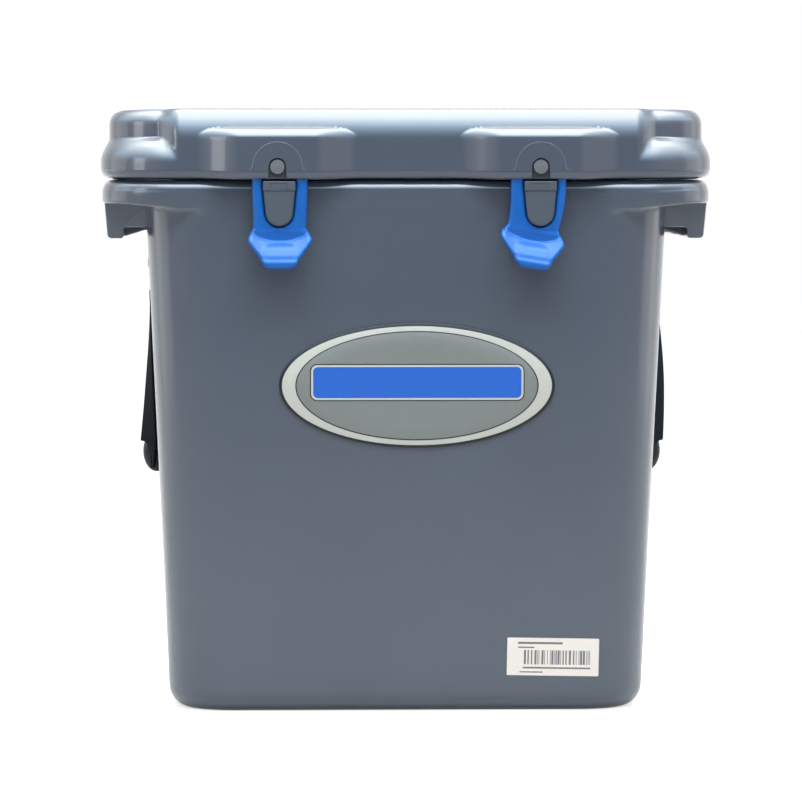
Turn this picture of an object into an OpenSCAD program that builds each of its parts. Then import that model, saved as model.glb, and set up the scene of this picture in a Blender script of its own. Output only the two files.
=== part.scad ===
// Hard-sided cool box with a hinged lid, rubber latches, strap handles and a drain.
// Millimetres. Z is up, the front faces -Y, and the origin is the centre of the base.

/* [Tub] */
// Height of the tub, from the floor to the top of its rim
tub_height = 393; // [340:1:460]
// Half the width of the tub at the floor
floor_half_width = 175.5; // [165:0.5:190]
// Half the depth of the tub at the floor
floor_half_depth = 175; // [165:1:190]
// How much each wall leans out between the floor and the rim
wall_lean = 18.4; // [12:0.2:26]
// Radius of the tub's upright corners
tub_corner_radius = 48; // [40:1:56]
// Radius of the edge round the base
base_edge_radius = 16; // [8:1:24]
// Whole thickness of a tub wall, from outer face to inner face
wall_thickness = 32; // [26:1:40]
// Thickness of the tub's floor
floor_thickness = 36; // [28:1:50]
// Thickness of each moulded skin round the foam
skin = 4.5; // [3:0.5:6]
// Radius of the upright corners inside the tub
inner_corner_radius = 28; // [20:1:36]

/* [Rim and side ledges] */
// How far the rim and its ledges reach out beyond the side walls
ledge_reach = 31.5; // [28:0.5:38]
// Height of the flared band round the rim
rim_band_height = 20; // [16:1:26]
// Radius of the rim's corners in plan
rim_corner_radius = 58; // [50:1:64]
// Rounding of the rim's top edge
rim_edge_radius = 7; // [4:1:9]
// Length of the carrying ledge on each side
ledge_length = 290; // [240:2:300]
// Height of the ledge below the rim band
ledge_depth = 15; // [12:1:22]
// Drop of the finger lip below the ledge
lip_drop = 8.4; // [6:0.2:12]
// Thickness of the finger lip
lip_thickness = 12; // [9:0.5:14]

/* [Lid] */
// How far the lid's lower tier stands out beyond the rim at the sides
lid_side_overhang = 1; // [0:0.5:4]
// How far the lid stands out beyond the rim at the front and rear, without its bosses
lid_front_overhang = 4; // [3:0.5:6]
// Height of the lid above its lower edge
lid_height = 51.5; // [46:0.5:60]
// Gap between the tub's rim and the lid
lid_gap = 1.5; // [1.2:0.1:3]
// Radius of the lid's corners in plan
lid_corner_radius = 60; // [52:1:66]
// Rounding of the lid's top edge
lid_top_radius = 11; // [7:0.5:13]
// Rounding of the lid's lower edge
lid_bottom_radius = 6; // [4:0.5:7]
// Radius of the lower tier's shoulder
shoulder_radius = 14; // [10:0.5:16]
// Height of the straight part below the shoulder
shoulder_base = 11.5; // [10:0.5:13]
// Set-back of the upper tier at the front and rear corners
corner_set_back = 20; // [15:0.5:24]
// Set-back of the upper tier along the sides
side_set_back = 5.5; // [3:0.5:9]
// Depth of the plug under the lid
plug_depth = 10; // [6:0.5:14]
// Clearance between the plug and the tub's mouth
plug_clearance = 4; // [3:0.5:6]
// Width of the lid's seal
seal_width = 8; // [6:0.5:10]

/* [Bosses, latches and hooks] */
// Distance of each latch and hinge from the middle of the box
latch_x = 96.4; // [80:0.2:110]
// How far the bosses stand out of the lid
boss_depth = 13; // [11:0.5:16]
// Half the flat width of a boss
boss_flat_half_width = 33; // [30:1:38]
// Half the whole width of a boss
boss_half_width = 55.5; // [52:0.5:62]
// Height of a boss above the lid's lower edge
boss_height = 38.5; // [34:0.5:40]
// Height of the latch pin above the lid's lower edge
latch_pin_height = 8.5; // [7:0.5:11]
// Diameter of the latch pin's head
latch_pin_head = 10.4; // [9:0.2:12]
// Diameter of the latch pin's shank
latch_pin_shank = 8; // [6:0.2:8.6]
// Thickness of the rubber latch
latch_thickness = 6; // [4.5:0.5:7]
// Width of the latch across its two arms
latch_width = 41; // [38:0.5:46]
// Width of the hook at its top
hook_width = 23.4; // [20:0.2:25]
// Width of the hook at its tip
hook_tip_width = 19.8; // [16:0.2:20]
// Height of the hook
hook_height = 33; // [30:0.5:36]
// Width of the latch's pull tab at its shoulders
tab_width = 46; // [42:0.5:52]
// Height of the latch's pull tab
tab_height = 30; // [26:0.5:34]
// Width of the latch's pull tab at its foot
tab_foot_width = 33; // [26:0.5:36]
// Thickness of the pull tab
tab_thickness = 8; // [6.5:0.5:9]
// Outward tilt of the pull tab
tab_tilt = 12; // [4:1:20]
// Sideways lean of the right latch's tab on its hook
right_tab_lean = 8; // [0:1:10]

/* [Hinges] */
// Diameter of the hinge pins
hinge_pin_diameter = 8; // [6:0.5:10]
// Width of the lid's hinge knuckle
knuckle_width = 56; // [44:1:62]
// Width of each ear on the tub
ear_width = 12; // [9:0.5:14]
// Radius of the ears round the hinge pin
ear_radius = 13; // [11:0.5:14]
// Distance of the hinge pin behind the rim
hinge_set_back = 14; // [14:0.5:18]
// Distance of the hinge pin below the lid's lower edge
hinge_drop = 16.5; // [16:0.5:20]

/* [Handles] */
// Distance between the two arms of a handle strap
strap_span = 132; // [110:1:150]
// Width of the webbing
webbing_width = 25; // [20:1:28]
// Thickness of the webbing
webbing_thickness = 2.5; // [2:0.1:3]
// Gap between the ledge's finger lip and the strap plates below it
plate_lip_gap = 3.3; // [2:0.1:8]
// Length that the strap hangs down, from its plates to the grip's axis
strap_drop = 122; // [105:1:155]
// Length of the grip
grip_length = 110; // [90:1:120]
// Thickness of the grip, away from the wall
grip_thickness = 13; // [12:0.5:22]
// Height of the grip's oval section
grip_section_height = 30; // [29:0.5:34]
// Twist of the webbing at the grip
strap_twist = 30; // [20:1:60]
// Height of a strap plate
plate_height = 32; // [28:1:34]
// Width of a strap plate
plate_width = 30; // [28:1:36]
// Thickness of a strap plate
plate_thickness = 2; // [1.5:0.1:3]
// Diameter of a plate screw's shank
screw_shank = 4; // [3:0.5:5]

/* [Badge, label and drain] */
// Width of the oval badge
badge_width = 203; // [160:1:220]
// Height of the oval badge
badge_height = 92; // [70:1:100]
// Distance of the badge's centre below the rim
badge_drop = 151; // [140:1:170]
// Sideways place of the badge's centre
badge_x = 6.5; // [-10:0.5:10]
// Width of the paper label
label_width = 68; // [50:1:80]
// Height of the paper label
label_height = 28; // [20:1:34]
// Sideways place of the label's centre
label_x = 107.5; // [60:0.5:110]
// Height of the label's centre above the floor
label_z = 40.5; // [34:0.5:70]
// Sideways slope of the label
label_slope = 1; // [0:0.5:3]
// Height of the drain's axis
drain_z = 56; // [56:1:76]
// Diameter of the drain's waterway
drain_bore = 17; // [12:0.5:19]

/* [Hidden] */

LEFT = -1;
RIGHT = 1;

grey = [0.38, 0.41, 0.45];
flat_grey = [0.40, 0.42, 0.45];
blue = [0.10, 0.42, 0.92];
black = [0.06, 0.06, 0.07];
steel = [0.75, 0.75, 0.76];

// General fits
seat_gap = 0.3;        // between pieces that lie against each other
pin_gap = 0.05;        // round a pin in its bore
overlap = 1;           // how far shapes of one piece run into each other
corner_steps = 8;      // facets along one rounded corner
arc_steps = 5;         // facets along a rounded edge

// Tub: half sizes at a height, on the outer wall and on the inner wall
function lean_at(z) = wall_lean * z / tub_height;
function wall_x(z) = floor_half_width + lean_at(z);
function wall_y(z) = floor_half_depth + lean_at(z);
lean_angle = atan(wall_lean / tub_height);
rim_half_width = wall_x(tub_height) + ledge_reach;
rim_half_depth = wall_y(tub_height);
rim_band_z = tub_height - rim_band_height;
mouth_half_width = wall_x(tub_height) - wall_thickness;
mouth_half_depth = rim_half_depth - wall_thickness;
foam_top = rim_band_z - skin;
foam_bottom = skin + 1.5;

// Ledge under the rim
ledge_z = rim_band_z - ledge_depth;
lip_z = ledge_z - lip_drop;
ledge_outer = rim_half_width - 1;
ledge_draft = 3;

// Lid
lid_half_width = rim_half_width + lid_side_overhang;
lid_half_depth = rim_half_depth + lid_front_overhang;
lid_z = tub_height + lid_gap;
lid_top_z = lid_z + lid_height;
shoulder_z = lid_z + shoulder_base;
shoulder_top_z = shoulder_z + shoulder_radius;
cove_radius = corner_set_back - shoulder_radius;
centre_half_width = lid_half_width - lid_corner_radius;
blend_width = 24;
boss_top_radius = 10;
front_steps = 60;
rear_steps = 60;
lid_foam_inset = 22;
land_inset = 16;
land_depth = 3;
land_z = lid_z + 0.5;
lid_foam_bottom = lid_z + 5;
lid_foam_top = lid_top_z - 6;
seal_z = tub_height + seat_gap;
seal_height = 4.2;
seal_offset = 4;

// Latch: its place behind the boss's front wall
boss_front_y = -(lid_half_depth + boss_depth);
boss_wall = 4.2;
latch_y = boss_front_y + boss_wall + seat_gap + latch_thickness / 2;
pin_z = lid_z + latch_pin_height;
arch_radius = 18;
pocket_gap = 0.4;
slot_depth = 2.2;
slot_foot = 1.6;
latch_pin_depth = 12;
slot_width = latch_pin_head + 2.6;
latch_pivot_z = lid_z - latch_thickness / 2 - 2.5;
hook_top = tub_height - 0.4;
hook_shoulder_z = hook_top - 7;
hook_tip_z = hook_top - hook_height;
hook_spigot_z = hook_top - hook_height / 3;
hook_seat_margin = 6;
hook_gap = 0.4;
hook_front_y = latch_y - latch_thickness / 2 - 1.4;
hook_spigot_radius = 4;
hook_spigot_length = 3;
bar_width = 3.4;
tip_centre_z = hook_tip_z + hook_tip_width / 2;
window_tip_radius = hook_tip_width / 2 + hook_gap;
window_top_half = hook_width / 2 + hook_gap;
neck_half_width = 19;
tab_top_z = hook_tip_z - bar_width;
tab_shoulder = 7;
tab_shoulder_slope = 4;
tab_foot_radius = 8;
root_shoulder_z = pin_z - 10;

// Hinge
hinge_y = rim_half_depth + hinge_set_back;
hinge_z = lid_z - hinge_drop;
hinge_pin_radius = hinge_pin_diameter / 2;
hinge_head_radius = hinge_pin_radius + 2;
hinge_head_length = 2.5;
ear_gap = 0.4;
ear_inner = knuckle_width / 2 + ear_gap;
ear_outer = ear_inner + ear_width;
knuckle_radius = ear_radius - 1.5;
ear_blind_wall = 3;

// Handle strap
plate_foot = 5;        // bare webbing between the strap's bend and its plate
plate_z = lip_z - plate_lip_gap - plate_height / 2;
strap_top = plate_z - plate_height / 2 - plate_foot - seat_gap;
grip_height = strap_top - strap_drop;
arm_y = strap_span / 2;
bend_radius = 8;
bend_z = grip_height + bend_radius;
wall_clearance = 0.5;
grip_x = wall_x(grip_height) + wall_clearance + grip_thickness / 2;
grip_slot_gap = 0.5;
hang_steps = 10;
bend_steps = 6;
strap_hinge_x = wall_x(strap_top) + wall_clearance + webbing_thickness / 2;
plate_screw_spacing = 18;
screw_head_radius = 3.8;
screw_head_height = 1.6;
screw_length = 14;

// Drain
drain_y = wall_y(drain_z);
drain_inner_y = drain_y - wall_thickness;
bushing_radius = drain_bore / 2 + 3;
bushing_flange_radius = bushing_radius + 1.5;
bushing_flange = 1.5;
bushing_seat = bushing_flange_radius * wall_lean / tub_height + seat_gap;
drain_nut_radius = bushing_radius + 6;
drain_nut_height = 7;
drain_plug_radius = drain_nut_radius + 1;
drain_plug_height = 6;
plug_shank_length = 14;

// ---------------------------------------------------------------- shared forms

// Corner points of a rounded rectangle at height z, anticlockwise seen from above
function ring(hx, hy, r, z, steps = corner_steps) = [
    for (c = [0:3]) let (sx = (c == 0 || c == 3) ? 1 : -1, sy = c < 2 ? 1 : -1)
        for (i = [0:steps]) let (a = 90 * (c + i / steps))
            [sx * (hx - r) + r * cos(a), sy * (hy - r) + r * sin(a), z]];

// Solid through a stack of rings that all have the same number of points
module loft(rings) {
    n = len(rings[0]);
    top = (len(rings) - 1) * n;
    polyhedron(points = [for (r = rings) each r], faces = [
        [for (i = [0:n - 1]) i],
        [for (i = [n - 1:-1:0]) top + i],
        for (k = [0:len(rings) - 2]) for (i = [0:n - 1]) let (a = k * n, j = (i + 1) % n)
            each [[a + i, a + n + i, a + n + j], [a + i, a + n + j, a + j]]]);
}

// Rounded rectangle with true arcs at its corners
module rounded_plan(hx, hy, r) {
    square([2 * hx, 2 * (hy - r)], center = true);
    square([2 * (hx - r), 2 * hy], center = true);
    for (x = [-1, 1]) for (y = [-1, 1]) translate([x * (hx - r), y * (hy - r)]) circle(r = r, $fn = 64);
}

// Ellipse as a polygon
module oval(w, h, steps = 64) {
    polygon([for (i = [0:steps - 1]) [w / 2 * cos(360 * i / steps), h / 2 * sin(360 * i / steps)]]);
}

// Places a child at one latch or hinge
module at_latch(side) {
    translate([side * latch_x, 0, 0]) children();
}

// Draws a child for the right side, or mirrored for the left
module on_side(side) {
    mirror([side == LEFT ? 1 : 0, 0, 0]) children();
}

// Stands a child on the right side wall: its Z axis points out of the wall and its Y axis up
module on_side_wall(y, z) {
    translate([wall_x(z), y, z]) rotate([0, lean_angle, 0])
        rotate([90, 0, 90]) children();
}

// Stands a child on the front wall: its Z axis points out of the wall and its Y axis up
module on_front_wall(x, z) {
    translate([x, -wall_y(z), z]) rotate([90 + lean_angle, 0, 0]) children();
}

// Cylinder along X, centred on a point
module rod_x(r, length, y, z) {
    translate([0, y, z]) rotate([0, 90, 0]) cylinder(r = r, h = length, center = true, $fn = 48);
}

// Cylinder along Y between two depths
module rod_y(r, y0, y1, x, z) {
    translate([x, y0, z]) rotate([-90, 0, 0]) cylinder(r = r, h = y1 - y0, $fn = 48);
}

// ---------------------------------------------------------------- tub

// Wall surface set in by a distance, between two heights
module wall_block(inset, z0, z1, r) {
    loft([for (z = [z0, z1]) ring(wall_x(z) - inset, wall_y(z) - inset, r, z)]);
}

// Outer body with its rounded base edge
module tub_body() {
    base = [for (i = [0:arc_steps]) let (a = 90 * i / arc_steps, z = base_edge_radius * (1 - cos(a)),
        inset = base_edge_radius * (1 - sin(a)))
            ring(wall_x(z) - inset, wall_y(z) - inset, tub_corner_radius - inset, z)];
    top = ring(wall_x(rim_band_z + overlap), wall_y(rim_band_z + overlap), tub_corner_radius,
        rim_band_z + overlap);
    loft(concat(base, [top]));
}

// Flared band round the rim, with a rounded top edge
module rim_band() {
    edge = [for (i = [0:arc_steps]) let (a = 90 * i / arc_steps)
        [rim_edge_radius * (1 - cos(a)), tub_height - rim_edge_radius * (1 - sin(a))]];
    rings = concat([[0, rim_band_z], [0, rim_band_z + 11], [1, rim_band_z + 12.2]],
        [for (e = edge) [1 + e[0], e[1]]]);
    loft([for (p = rings) ring(rim_half_width - p[0], rim_half_depth - p[0],
        rim_corner_radius - p[0], p[1])]);
}

// Carrying ledge with its finger lip, on the right side
module ledge() {
    root = wall_x(ledge_z) - skin;
    foot = ledge_outer - ledge_draft;
    translate([0, ledge_length / 2, 0]) rotate([90, 0, 0]) linear_extrude(ledge_length)
        polygon([[root, rim_band_z + overlap], [ledge_outer, rim_band_z + overlap],
            [foot + 0.5, lip_z + 2.5], [foot - 2, lip_z], [foot - lip_thickness + 2, lip_z],
            [foot - lip_thickness, lip_z + 2], [foot - lip_thickness, ledge_z], [root, ledge_z]]);
}

// Inner hollow of the tub
module tub_hollow() {
    loft([for (z = [floor_thickness, floor_thickness + 6, tub_height + overlap])
        let (inset = wall_thickness + (z == floor_thickness ? 4 : 0))
            ring(wall_x(z) - inset, wall_y(z) - inset, inner_corner_radius, z)]);
}

// Foam between the two skins, smaller all round by a gap
module tub_foam_form(gap) {
    difference() {
        wall_block(skin + gap, foam_bottom + gap, foam_top - gap, tub_corner_radius - skin);
        wall_block(wall_thickness - skin - gap, floor_thickness - skin - gap, foam_top + overlap,
            inner_corner_radius + skin);
    }
}

// Pair of ears that hold one hinge pin, with the wall block behind them
module hinge_ears() {
    for (s = [-1, 1]) translate([s * (ear_inner + ear_outer) / 2, 0, 0]) {
        rod_x(ear_radius, ear_width, hinge_y, hinge_z);
        translate([-ear_width / 2, wall_y(hinge_z) - skin, hinge_z - ear_radius])
            cube([ear_width, hinge_y - wall_y(hinge_z) + skin, 2 * ear_radius]);
    }
}

// Bore for one hinge pin: open at the outer ear and blind in the inner one
module hinge_bore(side) {
    near = -side * (ear_outer - ear_blind_wall);
    far = side * (ear_outer + overlap);
    translate([(near + far) / 2, 0, 0])
        rod_x(hinge_pin_radius + pin_gap, abs(far - near), hinge_y, hinge_z);
}

module tub_shell() {
    color(grey) difference() {
        union() {
            tub_body();
            rim_band();
            for (side = [LEFT, RIGHT]) {
                on_side(side) ledge();
                at_latch(side) {
                    hinge_ears();
                    hook_seat();
                }
            }
        }
        tub_hollow();
        tub_foam_form(0);
        for (side = [LEFT, RIGHT]) {
            at_latch(side) {
                hinge_bore(side);
                rod_y(hook_spigot_radius + pin_gap, -rim_half_depth - overlap,
                    -rim_half_depth + hook_spigot_length + seat_gap, 0, hook_spigot_z);
            }
            on_side(side) each_screw() cylinder(r = screw_shank / 2 + pin_gap,
                h = 2 * screw_length + 2, center = true, $fn = 32);
        }
        rod_y(bushing_radius + pin_gap, drain_inner_y - overlap - 8, drain_y + overlap, 0, drain_z);
    }
}

// Flat seat for a hook, level with the rim band
module hook_seat() {
    translate([-hook_width / 2 - hook_seat_margin, -rim_half_depth, hook_tip_z + 2])
        cube([hook_width + 2 * hook_seat_margin, skin, rim_band_z - hook_tip_z]);
}

module tub_foam() {
    color("khaki") difference() {
        tub_foam_form(seat_gap);
        rod_y(bushing_radius + seat_gap + pin_gap, drain_inner_y - 8, drain_y, 0, drain_z);
        for (side = [LEFT, RIGHT]) on_side(side) each_screw()
            cylinder(r = screw_shank / 2 + seat_gap, h = 2 * screw_length + 3, center = true, $fn = 32);
    }
}

// ---------------------------------------------------------------- lid

// Smooth step from 0 at a to 1 at b
function ease(a, b, v) = let (t = min(1, max(0, (v - a) / (b - a)))) t * t * (3 - 2 * t);

// Set-back of the wall at height z where the upper tier is fully set back
function tier_set_back(z) = z <= shoulder_z ? 0
    : z <= shoulder_top_z ? shoulder_radius - sqrt(pow(shoulder_radius, 2) - pow(z - shoulder_z, 2))
    : z < shoulder_top_z + cove_radius ? shoulder_radius
        + sqrt(pow(cove_radius, 2) - pow(shoulder_top_z + cove_radius - z, 2))
    : corner_set_back;

// Set-back of the rounded top and bottom edges
function edge_set_back(z) = let (up = z - (lid_top_z - lid_top_radius), down = lid_z + lid_bottom_radius - z)
    up > 0 ? lid_top_radius - sqrt(max(0, pow(lid_top_radius, 2) - up * up))
    : down > 0 ? lid_bottom_radius - sqrt(max(0, pow(lid_bottom_radius, 2) - down * down))
    : 0;

// Share of the boss's depth at a sideways place x and height z
function boss_share(x, z) = let (top = lid_z + boss_height,
    side = 1 - ease(boss_flat_half_width, boss_half_width, abs(abs(x) - latch_x)),
    rise = max(0, z - (top - boss_top_radius)) / boss_top_radius)
    side * sqrt(max(0, 1 - rise * rise));

// Point on the lid's skin: p on the plan outline, n its outward normal
function lid_point(p, n, z) = let (
    tiered = abs(n[0]) > 0.999 ? 1 : ease(centre_half_width, centre_half_width + blend_width, abs(p[0])),
    limit = tiered * (side_set_back * n[0] * n[0] + corner_set_back * n[1] * n[1]),
    shift = boss_depth * abs(n[1]) * boss_share(p[0], z) - edge_set_back(z) - min(tier_set_back(z), limit))
    [p[0] + n[0] * shift, p[1] + n[1] * shift, z];

// The lid's plan outline as [point, normal] pairs, with fine steps across front and rear
function lid_corner(sx, sy, start) = [for (i = [0:corner_steps + 4])
    let (a = start + 90 * i / (corner_steps + 4), n = [cos(a), sin(a)])
        [[sx * centre_half_width, sy * (lid_half_depth - lid_corner_radius)] + lid_corner_radius * n, n]];
function lid_edge(sy, steps) = [for (i = [1:steps - 1])
    [[-sy * centre_half_width * (2 * i / steps - 1), sy * lid_half_depth], [0, sy]]];
lid_outline = concat(lid_corner(1, 1, 0), lid_edge(1, rear_steps), lid_corner(-1, 1, 90),
    lid_corner(-1, -1, 180), lid_edge(-1, front_steps), lid_corner(1, -1, 270));

// Heights of the lid's rings: close together where its profile bends
lid_levels = concat(
    [for (a = [0, 30, 60]) lid_z + lid_bottom_radius * (1 - cos(a))],
    [lid_z + lid_bottom_radius, shoulder_z],
    [for (a = [30, 50, 70]) shoulder_z + shoulder_radius * sin(a)],
    [shoulder_top_z],
    [for (a = [30, 60, 90]) shoulder_top_z + cove_radius * (1 - cos(a))],
    [for (a = [70, 90]) lid_z + boss_height - boss_top_radius * (1 - sin(a))],
    [for (a = [0, 30, 60, 90]) lid_top_z - lid_top_radius * (1 - sin(a))]);

// The lid's outer form, with a shallow recess under it that the sealing land fills
module lid_form() {
    recess = [for (z = [lid_z + land_depth, lid_z])
        [for (p = lid_outline) let (q = p[0] - (land_inset + 4) * p[1]) [q[0], q[1], z]]];
    loft(concat(recess, [for (z = lid_levels) [for (p = lid_outline) lid_point(p[0], p[1], z)]]));
    translate([0, 0, land_z]) linear_extrude(land_depth)
        rounded_plan(lid_half_width - land_inset, lid_half_depth - land_inset, lid_corner_radius - land_inset);
}

// Plug that reaches down into the tub's mouth
module lid_plug() {
    translate([0, 0, lid_z - plug_depth]) linear_extrude(plug_depth + overlap)
        rounded_plan(mouth_half_width - plug_clearance, mouth_half_depth - plug_clearance,
            inner_corner_radius);
}

// Groove or seal round the plug
module seal_ring(gap, z0, z1) {
    inner = seal_offset - gap;
    outer = seal_offset + seal_width + gap;
    translate([0, 0, z0]) linear_extrude(z1 - z0) difference() {
        rounded_plan(mouth_half_width + outer, mouth_half_depth + outer, inner_corner_radius + outer);
        rounded_plan(mouth_half_width + inner, mouth_half_depth + inner, inner_corner_radius + inner);
    }
}

module lid_foam_form(gap) {
    translate([0, 0, lid_foam_bottom + gap]) linear_extrude(lid_foam_top - lid_foam_bottom - 2 * gap)
        rounded_plan(lid_half_width - side_set_back - lid_foam_inset - gap,
            lid_half_depth - corner_set_back - 4 - gap, tub_corner_radius - 10);
}

// Outline of the latch's root in the X-Z plane, made larger by a gap
module root_outline(gap) {
    half = latch_width / 2 + gap;
    r = arch_radius + gap;
    polygon(concat([for (i = [0:24]) let (a = 180 * i / 24) [r * cos(a), pin_z + r * sin(a)]],
        [[-half, root_shoulder_z], [-half, latch_pivot_z], [half, latch_pivot_z],
            [half, root_shoulder_z]]));
}

// Turns an outline in the X-Z plane into a plate between two depths
module upright_plate(y0, y1) {
    translate([0, y1, 0]) rotate([90, 0, 0]) linear_extrude(y1 - y0) children();
}

// Pocket for the latch's root, with the shallow slot and bore for its pin
module latch_pocket() {
    y0 = latch_y - latch_thickness / 2 - seat_gap;
    y1 = latch_y + latch_thickness / 2 + seat_gap;
    upright_plate(y0, y1) difference() {
        root_outline(pocket_gap);
        translate([-latch_width, latch_pivot_z - overlap]) square([2 * latch_width, lid_z - latch_pivot_z]);
    }
    upright_plate(boss_front_y - overlap, boss_front_y + slot_depth) {
        translate([0, pin_z]) circle(d = slot_width, $fn = 48);
        translate([-slot_width / 2, lid_z + slot_foot]) square([slot_width, latch_pin_height - slot_foot]);
    }
    rod_y(latch_pin_shank / 2 + pin_gap, boss_front_y, y1 + latch_pin_depth + seat_gap, 0, pin_z);
}

// Knuckle that drops from a rear boss to the hinge pin
module hinge_knuckle() {
    rod_x(knuckle_radius, knuckle_width, hinge_y, hinge_z);
    translate([-knuckle_width / 2, hinge_y - knuckle_radius, hinge_z])
        cube([knuckle_width, knuckle_radius + 3, lid_z + lid_bottom_radius - hinge_z]);
}

module lid_shell() {
    color(grey) difference() {
        union() {
            lid_form();
            lid_plug();
            for (side = [LEFT, RIGHT]) at_latch(side) hinge_knuckle();
        }
        lid_foam_form(0);
        seal_ring(0.2, lid_z - overlap, seal_z + seal_height + 0.2);
        for (side = [LEFT, RIGHT]) at_latch(side) {
            latch_pocket();
            rod_x(hinge_pin_radius + pin_gap, knuckle_width + 2 * overlap, hinge_y, hinge_z);
        }
    }
}

module lid_foam() {
    color("khaki") lid_foam_form(seat_gap);
}

module lid_seal() {
    color(black) seal_ring(0, seal_z, seal_z + seal_height);
}

// ---------------------------------------------------------------- hinges

// Pin with a head outside its outer ear
module hinge_pin(side) {
    near = -side * (ear_outer - ear_blind_wall - seat_gap);
    far = side * (ear_outer + hinge_head_length);
    color(steel) at_latch(side) {
        translate([(near + far) / 2, 0, 0]) rod_x(hinge_pin_radius, abs(far - near), hinge_y, hinge_z);
        translate([side * (ear_outer + seat_gap / 3 + hinge_head_length / 2), 0, 0])
            rod_x(hinge_head_radius, hinge_head_length - seat_gap / 3, hinge_y, hinge_z);
    }
}

// ---------------------------------------------------------------- latches

// Upper end of the rubber latch, held in the lid's pocket by its pin
module latch_root(side) {
    bottom = latch_pivot_z + latch_thickness / 2 + seat_gap;
    color(blue) at_latch(side)
        upright_plate(latch_y - latch_thickness / 2, latch_y + latch_thickness / 2) difference() {
            root_outline(0);
            translate([0, pin_z]) circle(r = latch_pin_shank / 2 + pin_gap, $fn = 48);
            translate([-latch_width, bottom - 20]) square([2 * latch_width, 20]);
            translate([-window_top_half, bottom - 20])
                square([2 * window_top_half, hook_top + seat_gap + 20 - bottom]);
        }
}

// Loop that hooks under the tongue, in the X-Z plane
module loop_outline() {
    top = latch_pivot_z;
    half = latch_width / 2;
    difference() {
        polygon([[-half, top], [-neck_half_width, tab_top_z + 3], [-neck_half_width, tab_top_z - 4],
            [neck_half_width, tab_top_z - 4], [neck_half_width, tab_top_z + 3], [half, top]]);
        translate([0, tip_centre_z]) circle(r = window_tip_radius, $fn = 64);
        polygon([[-window_top_half, top + overlap], [-window_top_half, hook_shoulder_z],
            [-window_tip_radius, tip_centre_z], [window_tip_radius, tip_centre_z],
            [window_top_half, hook_shoulder_z], [window_top_half, top + overlap]]);
    }
}

// Pull tab, in the X-Z plane with its top edge at z = 0
module tab_outline() {
    half = tab_width / 2;
    foot = tab_foot_width / 2;
    r = tab_foot_radius;
    low = r - tab_height;
    right = [[half - tab_shoulder_slope, 0], [half, -tab_shoulder], [half - 0.8, -1.5 * tab_shoulder],
        [foot, low], [foot - r, low]];
    polygon(concat(right, [for (i = [len(right) - 1:-1:0]) [-right[i][0], right[i][1]]]));
    for (s = [-1, 1]) translate([s * (foot - r), low]) circle(r = r, $fn = 48);
    translate([r - foot, -tab_height]) square([2 * (foot - r), 2 * r]);
}

module latch_loop(side) {
    lean = side == RIGHT ? right_tab_lean : 0;
    color(blue) at_latch(side) {
        upright_plate(latch_y - latch_thickness / 2, latch_y + latch_thickness / 2) loop_outline();
        for (s = [-1, 1]) translate([s * (latch_width / 2 + window_top_half) / 2, 0, 0])
            rod_x(latch_thickness / 2, latch_width / 2 - window_top_half, latch_y, latch_pivot_z);
        translate([0, latch_y, tip_centre_z]) rotate([0, lean, 0])
            translate([0, 0, tab_top_z - tip_centre_z]) rotate([-tab_tilt, 0, 0])
                upright_plate(-tab_thickness / 2, tab_thickness / 2) tab_outline();
    }
}

// Steel pin through the root, its head in the boss's slot
module latch_pin(side) {
    head_y = boss_front_y + 0.4;
    color(steel) at_latch(side) {
        rod_y(latch_pin_head / 2, head_y, boss_front_y + slot_depth - 0.1, 0, pin_z);
        rod_y(latch_pin_shank / 2, head_y, latch_y + latch_thickness / 2 + latch_pin_depth, 0, pin_z);
    }
}

// Tongue that the latch's loop catches under
module hook_tongue(side) {
    color(flat_grey) at_latch(side) {
        upright_plate(hook_front_y, -rim_half_depth - pin_gap) {
            translate([0, tip_centre_z]) circle(r = hook_tip_width / 2, $fn = 64);
            polygon([[-hook_width / 2, hook_top], [-hook_width / 2, hook_shoulder_z],
                [-hook_tip_width / 2, tip_centre_z], [hook_tip_width / 2, tip_centre_z],
                [hook_width / 2, hook_shoulder_z], [hook_width / 2, hook_top]]);
        }
        rod_y(hook_spigot_radius, -rim_half_depth - overlap, -rim_half_depth + hook_spigot_length, 0,
            hook_spigot_z);
    }
}

// ---------------------------------------------------------------- handles

// Sideways place of the webbing's middle at height z with a twist
function strap_x(z, twist) = wall_x(z) + wall_clearance + webbing_width / 2 * sin(twist)
    + webbing_thickness / 2 * cos(twist);

// Four corners of the webbing: centre c, turn is 0 going down, 90 along the grip and 180 going up
function webbing_ring(c, turn, twist) = let (
    along = [0, sin(turn), -cos(turn)],
    across = [sin(twist), cos(twist) * cos(turn), cos(twist) * sin(turn)],
    w = across * webbing_width / 2, t = cross(along, across) * webbing_thickness / 2)
    [c - w - t, c + w - t, c + w + t, c - w + t];

// Stations of the front arm, from its top to the grip's mouth, as [centre, turn, twist]
front_arm = concat(
    [for (i = [0:hang_steps]) let (s = i / hang_steps, twist = strap_twist * s,
        z = strap_top + s * (bend_z - strap_top))
            [[strap_x(z, twist), -arm_y, z], 0, twist]],
    [for (i = [1:bend_steps]) let (s = i / bend_steps, turn = 90 * s, twist = strap_twist * (1 - s))
        [[(1 - s) * strap_x(bend_z, strap_twist) + s * grip_x, -arm_y + bend_radius * (1 - cos(turn)),
            bend_z - bend_radius * sin(turn)], turn, twist]]);
rear_arm = [for (i = [len(front_arm) - 1:-1:0]) let (s = front_arm[i])
    [[s[0][0], -s[0][1], s[0][2]], 180 - s[1], s[2]]];

module strap(side) {
    color(black) on_side(side) {
        loft([for (s = concat(front_arm, rear_arm)) webbing_ring(s[0], s[1], s[2])]);
        for (y = [-arm_y, arm_y]) translate([strap_hinge_x, y, strap_top]) rotate([90, 0, 0])
            cylinder(r = webbing_thickness / 2, h = webbing_width, center = true, $fn = 24);
    }
}

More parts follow.
